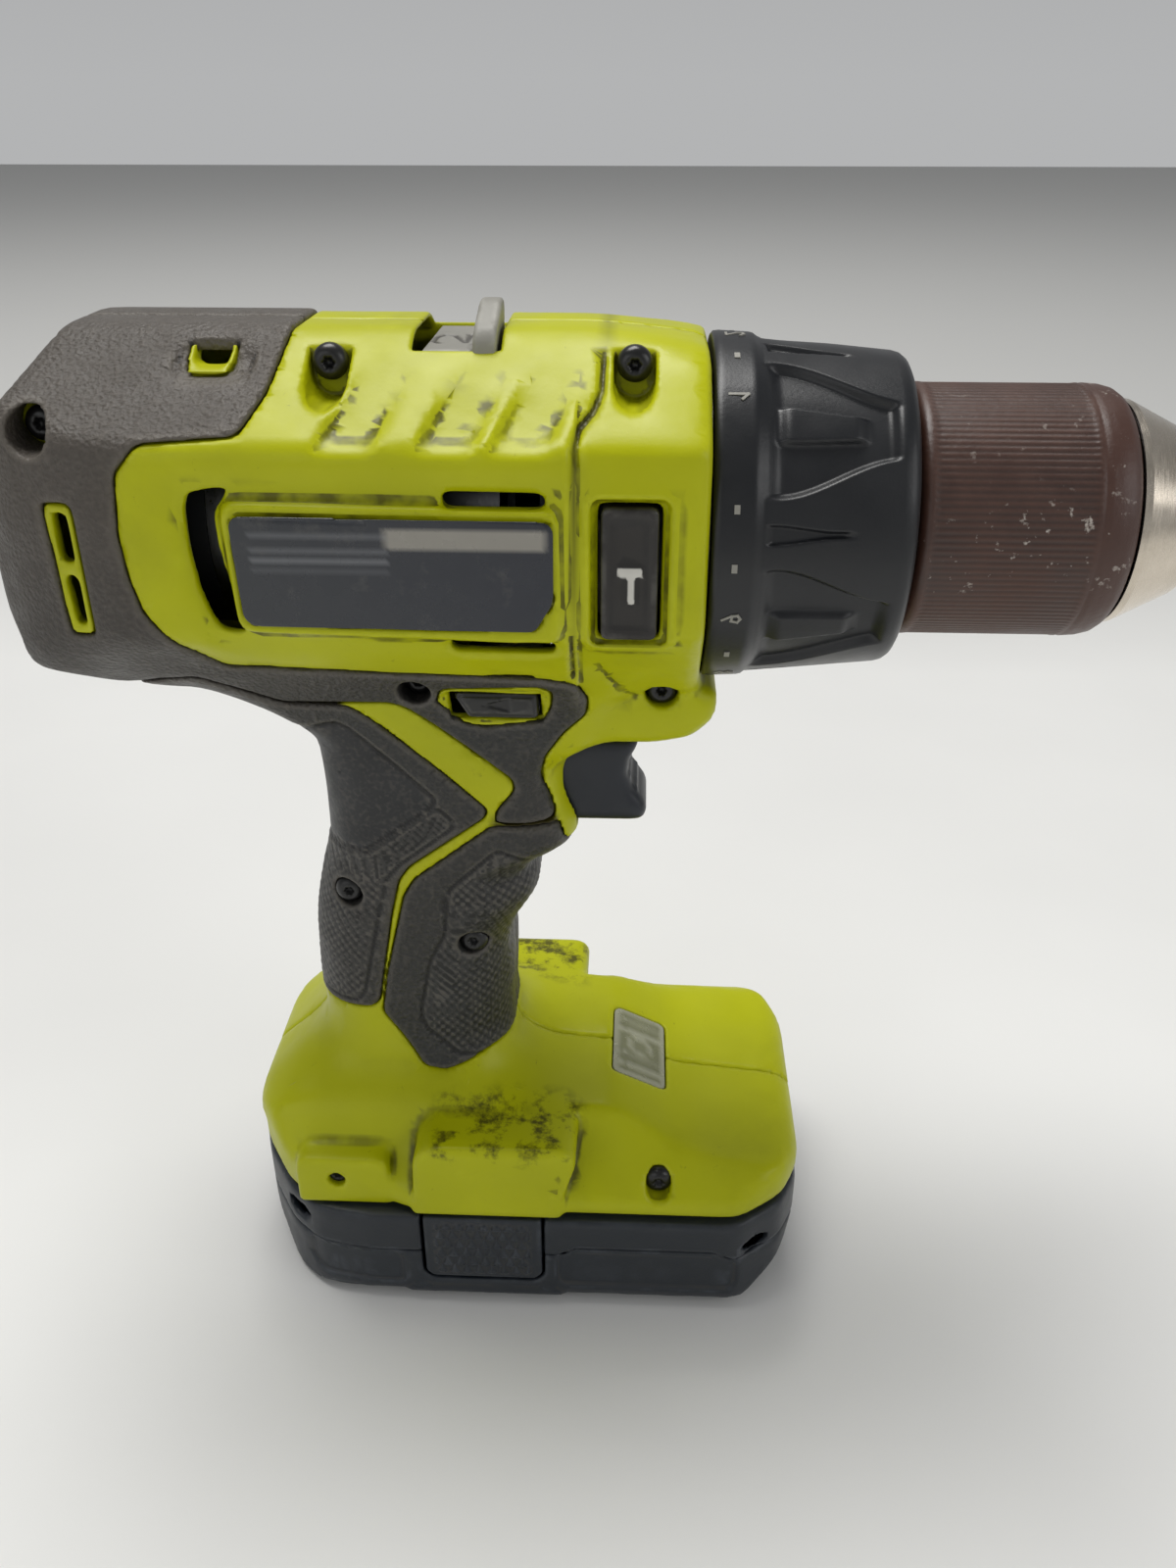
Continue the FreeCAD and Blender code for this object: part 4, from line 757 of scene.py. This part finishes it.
def collar_form(x, radius, angle):
    """The collar's radius: a rib stands in each recess."""
    from_recess, from_notch = (abs(sector(angle, 5, offset)) for offset in (26, 62))
    half_width = 25 - 14 * ramp(x, 44, 64)
    recess = 1 - ramp(from_recess, half_width - 2.2, half_width + 0.4)
    recess = recess * plateau(x, 41.5, 44.5, 61.5, 63.5)
    taper = 2.0 * ramp(x, 44, 60)
    rib = (1 - ramp(from_recess, 5.5 - taper, 7.5 - taper)) * plateau(x, 43, 46, 56, 59)
    taper = ramp(x, 43, 54)
    notch = 1 - ramp(from_notch, 2.4 - 2.0 * taper, 3.6 - 2.2 * taper)
    notch = notch * plateau(x, 42.4, 43.2, 54, 57)
    depth = 1.5 * recess * (1 - 0.85 * rib) + 0.9 * notch
    return radius - ramp(radius, 25.6, 26.2) * depth


collar = lathe("collar_ring", filled_profile(COLLAR, 0.5), TURNS, collar_form)
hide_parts("torque_collar")
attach(collar, "torque_collar")

# the collar's dial: the digits 1 to 9, and small squares between them, in single strokes
DIGITS = [
    [(0.2, 0.7), (0.6, 1), (0.6, 0)],
    [(0.1, 0.8), (0.4, 1), (0.8, 0.9), (0.8, 0.6), (0.1, 0), (0.9, 0)],
    [(0.1, 1), (0.8, 1), (0.4, 0.6), (0.85, 0.35), (0.6, 0), (0.1, 0.05)],
    [(0.7, 0), (0.7, 1), (0.05, 0.3), (0.95, 0.3)],
    [(0.85, 1), (0.2, 1), (0.15, 0.55), (0.65, 0.6), (0.85, 0.3), (0.6, 0), (0.1, 0.05)],
    [(0.7, 1), (0.2, 0.5), (0.15, 0.15), (0.5, 0), (0.85, 0.2), (0.7, 0.5), (0.25, 0.45)],
    [(0.1, 1), (0.9, 1), (0.4, 0)],
    [(0.5, 0.53), (0.2, 0.75), (0.5, 1), (0.8, 0.75), (0.5, 0.53), (0.15, 0.25), (0.5, 0), (0.85, 0.25),
     (0.5, 0.53)],
    [(0.75, 0.55), (0.3, 0.5), (0.2, 0.85), (0.5, 1), (0.8, 0.85), (0.75, 0.5), (0.4, 0)],
]
DIAL_RADIUS = 29.5
SIX_SIDES = ((4, 5, 7, 6), (0, 2, 3, 1), (0, 1, 5, 4), (2, 6, 7, 3), (0, 4, 6, 2), (1, 3, 7, 5))


def dial_marks():
    """Thin white strokes laid on the collar's rear band."""
    vertices, faces = [], []

    def stroke(points, width=0.42):
        for (a1, x1), (a2, x2) in zip(points, points[1:]):
            along = np.array([a2 - a1, x2 - x1])
            along = along / np.hypot(*along) * width / 2
            across = (-along[1], along[0])
            start = len(vertices)
            for radius in (29.2, 29.56):
                for a, b in ((a1, x1), (a2, x2)):
                    sign = -1 if (a, b) == (a1, x1) else 1
                    for side in (-1, 1):
                        arc = (a + sign * along[0] + side * across[0]) / DIAL_RADIUS
                        at = b + sign * along[1] + side * across[1]
                        vertices.append((at, radius * math.sin(arc), SPINDLE + radius * math.cos(arc)))
            faces.extend(tuple(start + k for k in quad) for quad in SIX_SIDES)

    for number in range(20):
        middle = math.radians(18 * number - 38) * DIAL_RADIUS
        if number % 2 == 0 and number < 18:
            stroke([(middle + (u - 0.5) * 2.3, 36.2 + v * 2.9) for u, v in DIGITS[number // 2]])
        elif number != 19:
            stroke([(middle - 0.25, 37.6), (middle + 0.25, 37.6)], 0.9)
    return vertices, faces


marks = new_object("dial_marks", *dial_marks(), smooth=False)
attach(marks, "torque_collar")

# chuck sleeve: fine lines along the axis and a round front
SLEEVE = [
    (67.5, 9), (69.3, 9), (69.3, 19.15), (102.6, 18.0), (102.9, 18.3), (102.8, 19.2), (102.2, 20.1),
    (101.0, 20.9), (99.2, 21.35), (97, 21.5), (96.6, 21.35), (96.2, 21.35), (95.8, 21.5), (68.9, 21.5),
    (68.0, 21.1), (67.5, 20.2),
]


def sleeve_lines(x, radius, angle):
    """120 fine ribs, 0 to 1, along the straight part of the sleeve."""
    return (0.5 + 0.5 * np.cos(angle * 120)) * plateau(x, 69.4, 70.2, 95, 95.8)


def sleeve_form(x, radius, angle):
    patch = 0.5 + 0.5 * np.sin(angle * 3 + 1) * np.sin(x * 0.21 + angle * 2)
    low = 0.1 * plateau(x, 69.4, 70.2, 95, 95.8) + 0.16 * sleeve_lines(x, radius, angle) * (0.4 + 0.6 * patch)
    return radius - ramp(radius, 20.5, 21) * low


sleeve_wear = {"lines": sleeve_lines, "front": lambda x, radius, angle: ramp(x, 94, 99) + 0 * angle}
sleeve = lathe("sleeve_barrel", filled_profile(SLEEVE, 0.6), TURNS, sleeve_form, sleeve_wear)
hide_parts("chuck_sleeve")
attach(sleeve, "sleeve")


def screw_heads():
    """Domed heads with a six-point socket, on their shanks."""
    profile = [(0.5, 0.7), (1.5, 0.8), (1.75, 1.2), (1.7, 1.7), (1.35, 2.3), (0.8, 2.7), (0.2, 2.85),
               (-0.6, 2.85), (-0.6, 1.9), (-23.5, 1.85), (-24, 1.2), (-24, 0.02)]
    vertices, faces = [], []
    turns = 48
    around = np.linspace(0, 2 * math.pi, turns, endpoint=False)
    for sx, sz, head, _, _ in SCREWS:
        start = len(vertices)
        for depth, radius in profile:
            socket = 0.1 * np.cos(6 * around) if radius < 1.3 and depth > 0 else 0
            for a, r in zip(around, radius + socket + 0 * around):
                vertices.append((sx + r * math.cos(a), head - 1.35 - depth, sz + r * math.sin(a)))
        for row in range(len(profile) - 1):
            a, b = start + row * turns, start + (row + 1) * turns
            for k in range(turns):
                n = (k + 1) % turns
                faces.append((a + k, b + k, b + n, a + n))
        faces.append(tuple(range(start, start + turns)))
        faces.append(tuple(reversed(range(b, b + turns))))
    return vertices, faces


screws = new_object("screw_heads", *screw_heads())
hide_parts("housing_screws")
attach(screws, "housing")


# ---- materials
class Finish:
    """A procedural material being put together."""

    def __init__(self, name, roughness=0.5, metallic=0.0, **sockets):
        self.material = bpy.data.materials.new(name)
        self.material.use_nodes = True
        self.tree = self.material.node_tree
        self.shader = self.tree.nodes["Principled BSDF"]
        self.place = self.node("TexCoord").outputs["Object"]
        self.shader.inputs["Roughness"].default_value = roughness
        self.shader.inputs["Metallic"].default_value = metallic
        for key, value in sockets.items():
            self.shader.inputs[key.replace("_", " ")].default_value = value

    def node(self, kind, inputs=None, **settings):
        item = self.tree.nodes.new("ShaderNode" + kind)
        for key, value in settings.items():
            setattr(item, key, value)
        for key, value in (inputs or {}).items():
            if isinstance(value, bpy.types.NodeSocket):
                self.tree.links.new(value, item.inputs[key])
            else:
                item.inputs[key].default_value = value
        return item

    def stretched(self, scale):
        return self.node("Mapping", {"Vector": self.place, "Scale": scale}).outputs["Vector"]

    def noise(self, scale, detail=4.0, roughness=0.55, place=None, distortion=0.0):
        return self.node("TexNoise", {
            "Vector": place or self.place, "Scale": scale, "Detail": detail, "Roughness": roughness,
            "Distortion": distortion}).outputs["Fac"]

    def pebbles(self, scale):
        item = self.node("TexVoronoi", {"Vector": self.place, "Scale": scale}, feature="SMOOTH_F1")
        return item.outputs["Distance"]

    def attribute(self, name):
        return self.node("Attribute", attribute_name=name).outputs["Fac"]

    def along(self, axis, start, end):
        """0 to 1 between two places along an axis of the object, in metres."""
        place = self.node("SeparateXYZ", {"Vector": self.place}).outputs[axis]
        return self.range(place, start, end)

    def range(self, value, low, high, to_low=0.0, to_high=1.0):
        return self.node("MapRange", {
            "Value": value, "From Min": low, "From Max": high, "To Min": to_low,
            "To Max": to_high}).outputs["Result"]

    def math(self, operation, a, b):
        return self.node("Math", {0: a, 1: b}, operation=operation).outputs[0]

    def times(self, a, b):
        return self.math("MULTIPLY", a, b)

    def mix(self, factor, a, b):
        return self.node("Mix", {0: factor, 6: a, 7: b}, data_type="RGBA").outputs[2]

    def over(self, tone, other, mask, strength):
        """A tone with another laid over it, where the mask is."""
        return self.mix(self.times(mask, strength), tone, other)

    def colour(self, value):
        self.tree.links.new(value, self.shader.inputs["Base Color"])

    def rough(self, value):
        self.tree.links.new(value, self.shader.inputs["Roughness"])

    def bump(self, height, distance):
        normal = self.node("Bump", {"Height": height, "Distance": distance}).outputs["Normal"]
        self.tree.links.new(normal, self.shader.inputs["Normal"])


def rgb(*display):
    """A colour from 0 to 255 display values."""
    return tuple(((c / 255 + 0.055) / 1.055) ** 2.4 if c > 10 else c / 255 / 12.92 for c in display) + (1.0,)


def dimmed(colour, factor):
    return tuple(min(c * factor, 1) for c in colour[:3]) + (1,)


def moulded(name, base, dark, light, roughness, grain=2200, depth=0.00003, grime_and_shade=0.6, wear=0.5, **sockets):
    """Moulded plastic: fine grain, grime and painted shade in its grooves, worn edges and faint smudges."""
    f = Finish(name, roughness, **sockets)
    smudge = f.range(f.noise(17, 6, 0.65, distortion=0.6), 0.52, 0.74)
    crease = f.attribute("crease")
    # painted shade with grime: the groove tone goes into concave creases in noisy patches; where it is darker
    # than the base it stands for shade
    groove_shade = f.times(f.range(crease, -0.1, -0.5), f.range(f.noise(160, 3), 0.3, 0.6))
    ridge = f.times(f.range(crease, 0.35, 1.1), f.range(f.noise(210, 4), 0.46, 0.66))
    tone = f.mix(f.range(f.noise(38, 5), 0.35, 0.65), base, dimmed(base, 0.9))
    tone = f.over(tone, dark, smudge, 0.16)
    tone = f.over(tone, dark, groove_shade, grime_and_shade)
    f.tone = f.over(tone, light, ridge, wear)
    f.colour(f.tone)
    f.rough(f.range(f.noise(90, 4), 0.3, 0.7, roughness - 0.07, roughness + 0.1))
    f.bump(f.noise(grain, 2), depth)
    return f


# the dark yellow is grime on specks and scuffs, and painted shade in grooves and along gaps
YELLOW, YELLOW_GRIME_AND_SHADE = rgb(184, 188, 0), rgb(52, 46, 8)
shell_yellow = moulded("shell_yellow", YELLOW, YELLOW_GRIME_AND_SHADE, rgb(212, 216, 50), 0.38, 1500, 0.00002, 0.8, 0.2,
                       Specular_IOR_Level=0.3)
f = shell_yellow
speckle = f.range(f.noise(300, 5, 0.75, distortion=1.5), 0.66, 0.74)
scuff = f.times(f.attribute("scuff"), f.range(f.noise(150, 5, 0.7), 0.5, 0.62))
tone = f.over(f.over(f.tone, YELLOW_GRIME_AND_SHADE, speckle, 0.55), YELLOW_GRIME_AND_SHADE, scuff, 0.85)
# painted shade: the shell is painted dark yellow along the gaps and the nose groove
f.colour(f.mix(f.attribute("grime_and_shade"), tone, YELLOW_GRIME_AND_SHADE))

soft = Finish("soft_grip", 0.5, Specular_IOR_Level=0.4)
f = soft
hide = f.math("ADD", f.times(f.pebbles(1250), 0.9), f.noise(1500, 4, 0.6))
smooth_part = f.math("MAXIMUM", f.attribute("plate"), f.times(f.attribute("knurl"), 0.85))
crease = f.attribute("crease")
# painted light: the soft skin is darker low down and lighter towards the top, as light falls from above
tone = f.mix(f.along("Z", 0.128, 0.17), rgb(47, 48, 47), rgb(82, 76, 69))
tone = f.over(tone, rgb(62, 57, 52), f.range(f.noise(22, 5), 0.4, 0.65), 0.3)
tone = f.mix(f.attribute("plate"), tone, rgb(40, 41, 42))
tone = f.over(tone, rgb(120, 112, 102), f.range(hide, 0.85, 1.2), 0.16)
# painted shade: concave creases of the soft skin are darkened
tone = f.over(tone, rgb(20, 19, 18), f.range(crease, -0.12, -0.6), 0.75)
tone = f.over(tone, rgb(128, 122, 112), f.range(crease, 0.3, 1.0), 0.25)
f.colour(tone)
f.rough(f.range(f.noise(160, 4), 0.3, 0.7, 0.36, 0.56))
f.bump(f.times(hide, f.range(smooth_part, 0, 1, 1, 0.12)), 0.0003)

collar_black = moulded("collar_black", rgb(20, 22, 26), rgb(52, 50, 46), rgb(84, 86, 90), 0.36,
                       1700, 0.00002, 0.3, 0.3)
trigger_black = moulded("trigger_black", rgb(22, 27, 36), rgb(10, 11, 13), rgb(60, 66, 76), 0.4,
                        2200, 0.00002)
grey_part = moulded("grey_part", rgb(146, 144, 136), rgb(50, 46, 40), rgb(186, 184, 176), 0.48, 1800, 0.00003)
grey_part.colour(grey_part.over(grey_part.tone, rgb(58, 54, 48), grey_part.attribute("sign"), 0.8))
selector_black = moulded("selector_black", rgb(34, 34, 32), rgb(12, 12, 12), rgb(92, 90, 86), 0.3,
                         2000, 0.00002)
slate = moulded("slate_plastic_look", rgb(32, 38, 45), rgb(60, 58, 54), rgb(88, 94, 102), 0.4,
                1700, 0.00003, 0.4, 0.3)
dark_screw = moulded("screw_look", rgb(22, 22, 22), rgb(8, 8, 8), rgb(90, 88, 84), 0.34, 1500, 0.00001)

# mode button: black with a pale hammer sign
key_look = moulded("key_black", rgb(38, 35, 32), rgb(14, 13, 12), rgb(92, 90, 84), 0.42, 1900, 0.00002)
sign = key_look.range(key_look.attribute("sign"), 0.3, 0.6)
key_look.colour(key_look.mix(sign, key_look.tone, rgb(206, 204, 196)))

# badge: glossy dark film with a pale tile and thin bars
film = Finish("badge_film", 0.26, Coat_Weight=0.4, Coat_Roughness=0.12)
f = film
tone = f.mix(f.along("X", -0.04, 0.01), rgb(34, 38, 44), rgb(10, 18, 34))
tone = f.over(tone, rgb(150, 146, 136), f.attribute("tile"), 0.9)
tone = f.over(tone, rgb(150, 152, 156), f.attribute("lines"), 0.35)
tone = f.over(tone, rgb(96, 94, 88), f.range(f.noise(120, 6, 0.7), 0.55, 0.7), 0.3)
f.colour(tone)
f.rough(f.range(f.noise(200, 4), 0.3, 0.7, 0.2, 0.4))
f.bump(f.noise(700, 3), 0.00001)

# chuck sleeve: rusty brown with bright worn specks
rust = Finish("sleeve_rust", 0.45, Specular_IOR_Level=0.6)
f = rust
grime = f.noise(46, 6, 0.7)
streaks = f.noise(60, 5, 0.7, place=f.stretched((0.3, 1, 1)))
specks = f.times(f.range(f.noise(420, 3, 0.7), 0.62, 0.7), f.range(streaks, 0.5, 0.62))
tone = f.mix(f.range(grime, 0.3, 0.7), rgb(58, 34, 25), rgb(84, 52, 38))
tone = f.over(tone, rgb(32, 19, 15), f.attribute("lines"), 0.5)
tone = f.over(tone, rgb(66, 38, 28), f.attribute("front"), 0.8)
f.colour(f.over(tone, rgb(196, 188, 178), specks, 0.8))
f.rough(f.range(grime, 0.3, 0.7, 0.34, 0.6))
f.bump(f.math("ADD", f.noise(500, 5, 0.7), f.times(specks, 0.4)), 0.00012)


def metal(name, tone, other, roughness, stretch, depth=0.00001):
    """Turned or brushed metal."""
    f = Finish(name, roughness, 1.0)
    brushed = f.noise(900, 4, 0.6, place=f.stretched(stretch))
    f.colour(f.mix(f.range(f.noise(60, 5), 0.35, 0.65), tone, other))
    f.rough(f.range(brushed, 0.3, 0.7, roughness - 0.08, roughness + 0.12))
    f.bump(brushed, depth)
    return f


nickel = metal("nickel", rgb(214, 204, 190), rgb(190, 180, 164), 0.22, (6, 0.4, 0.4))
steel = metal("steel_look", rgb(150, 150, 152), rgb(120, 120, 122), 0.34, (3, 1, 1))
dark_steel = metal("dark_steel_look", rgb(74, 74, 78), rgb(52, 52, 56), 0.4, (3, 1, 1))
copper = metal("copper_look", rgb(178, 96, 52), rgb(140, 70, 38), 0.36, (1, 1, 6))
alloy = metal("alloy_look", rgb(84, 86, 90), rgb(66, 68, 72), 0.46, (1, 1, 1), 0.00004)

glass = Finish("lamp_lens_look", 0.25, Transmission_Weight=0.25, IOR=1.49)
f = glass
tone = f.mix(f.range(f.noise(80, 5), 0.4, 0.65), rgb(150, 152, 118), rgb(128, 130, 98))
f.colour(f.over(tone, rgb(226, 226, 204), f.attribute("bars"), 0.45))
f.rough(f.range(f.noise(300, 4), 0.3, 0.7, 0.14, 0.34))
f.bump(f.math("ADD", f.noise(600, 3), f.attribute("bars")), 0.0002)

plain = {
    "carbon": ((40, 40, 42), 0.7), "magnet": ((62, 62, 66), 0.5), "black_plastic": ((34, 36, 40), 0.5),
    "board_green": ((30, 92, 56), 0.45), "wire_red": ((150, 34, 30), 0.45), "cell_wrap": ((30, 42, 50), 0.35),
}
looks = {
    "shell_yellow": shell_yellow, "soft_grip": soft, "badge_black": film, "screw_black": dark_screw,
    "steel": steel, "dark_steel": dark_steel, "copper": copper, "slate_plastic": slate,
    "grey_plastic": grey_part, "gear_case_alloy": alloy, "chuck_sleeve": rust, "lens": glass,
}
for slot_name, (display, rough_value) in plain.items():
    tint = rgb(*display)
    looks[slot_name] = moulded(slot_name + "_look", tint, dimmed(tint, 0.5), dimmed(tint, 1.6), rough_value)

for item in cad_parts.values():
    for place in item.material_slots:
        place.material = looks[place.material.name.split(".")[0]].material
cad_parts["chuck_nose"].material_slots[0].material = nickel.material


def wear_look(item, look):
    item.data.materials.clear()
    item.data.materials.append(look.material)


for housing, cap, grip in (right_pieces, left_pieces):
    wear_look(housing, shell_yellow)
    wear_look(cap, soft)
    wear_look(grip, soft)
for item, look in ((lens, glass), (trigger, trigger_black), (selector, selector_black), (slider, grey_part),
                   (button, key_look), (upper, slate), (lower, slate), (stem, slate), (collar, collar_black),
                   (marks, grey_part), (sleeve, rust), (screws, dark_screw), (cells, looks["cell_wrap"])):
    wear_look(item, look)
for hand in ("right", "left"):
    wear_look(bpy.data.objects[f"badge_{hand}"], film)
    wear_look(bpy.data.objects[f"latch_pad_{hand}"], slate)

# ---- floor, light and camera
floor_mesh = bpy.data.meshes.new("floor")
floor_mesh.from_pydata([(-4, -4, 0), (4, -4, 0), (4, 4, 0), (-4, 4, 0)], [], [(0, 1, 2, 3)])
floor = bpy.data.objects.new("floor", floor_mesh)
bpy.context.scene.collection.objects.link(floor)
paper = Finish("floor_paper", 0.5)
far = paper.along("Y", 0.30, 0.46)
tone = paper.mix(paper.range(paper.noise(3, 4), 0.35, 0.65), rgb(228, 228, 226), rgb(220, 220, 218))
paper.colour(paper.mix(far, tone, rgb(196, 196, 194)))
paper.bump(paper.noise(120, 4), 0.00008)
wear_look(floor, paper)

world = bpy.data.worlds.new("studio")
bpy.context.scene.world = world
bpy.context.scene.view_settings.view_transform = "Standard"
world.use_nodes = True
# the sky is brighter low down than overhead
sky, sky_links = world.node_tree.nodes, world.node_tree.links
split, fade = sky.new("ShaderNodeSeparateXYZ"), sky.new("ShaderNodeMapRange")
for key, value in (("From Min", 0.0), ("From Max", 0.5), ("To Min", 0.46), ("To Max", 0.26)):
    fade.inputs[key].default_value = value
sky_links.new(sky.new("ShaderNodeTexCoord").outputs["Generated"], split.inputs["Vector"])
sky_links.new(split.outputs["Z"], fade.inputs["Value"])
sky_links.new(fade.outputs["Result"], sky["Background"].inputs["Strength"])
sky["Background"].inputs["Color"].default_value = (0.98, 0.99, 1.0, 1)


def area_light(name, place, size, power, tint=(1, 1, 1)):
    """A soft light that faces the drill."""
    data = bpy.data.lights.new(name, "AREA")
    data.shape = "RECTANGLE"
    data.size, data.size_y = size
    data.energy = power
    data.color = tint
    item = bpy.data.objects.new(name, data)
    item.location = place
    item.rotation_euler = (Vector(CENTRE) - Vector(place)).to_track_quat("-Z", "Y").to_euler()
    bpy.context.scene.collection.objects.link(item)


CENTRE = (0.015, 0, 0.11)  # middle of the drill
area_light("key", (-0.35, 0.5, 2.2), (1.5, 1.1), 44.0, (1, 0.99, 0.97))
area_light("fill", (-0.5, -0.7, 0.45), (0.7, 0.5), 0.9)
area_light("front", (0.7, -0.35, 0.5), (0.5, 0.4), 1.2)

PITCH, YAW = math.radians(29.0), math.radians(2.35)
FOCAL = 1300  # in pixels of a picture 1600 high
camera = bpy.data.objects.new("camera", bpy.data.cameras.new("camera"))
bpy.context.scene.collection.objects.link(camera)
camera.data.sensor_width = 36
camera.data.lens = FOCAL * 36 / 1600
camera.data.clip_start = 0.01
right = Vector((math.cos(YAW), math.sin(YAW), 0))
forward = Vector((-math.sin(YAW) * math.cos(PITCH), math.cos(YAW) * math.cos(PITCH), -math.sin(PITCH)))
above = Vector((-math.sin(YAW) * math.sin(PITCH), math.cos(YAW) * math.sin(PITCH), math.cos(PITCH)))
camera.matrix_world = Matrix.Translation((0.0225, -0.22103, 0.22976)) @ Matrix(
    [[r, a, -f, 0] for r, a, f in zip(right, above, forward)] + [[0, 0, 0, 1]])
bpy.context.scene.camera = camera
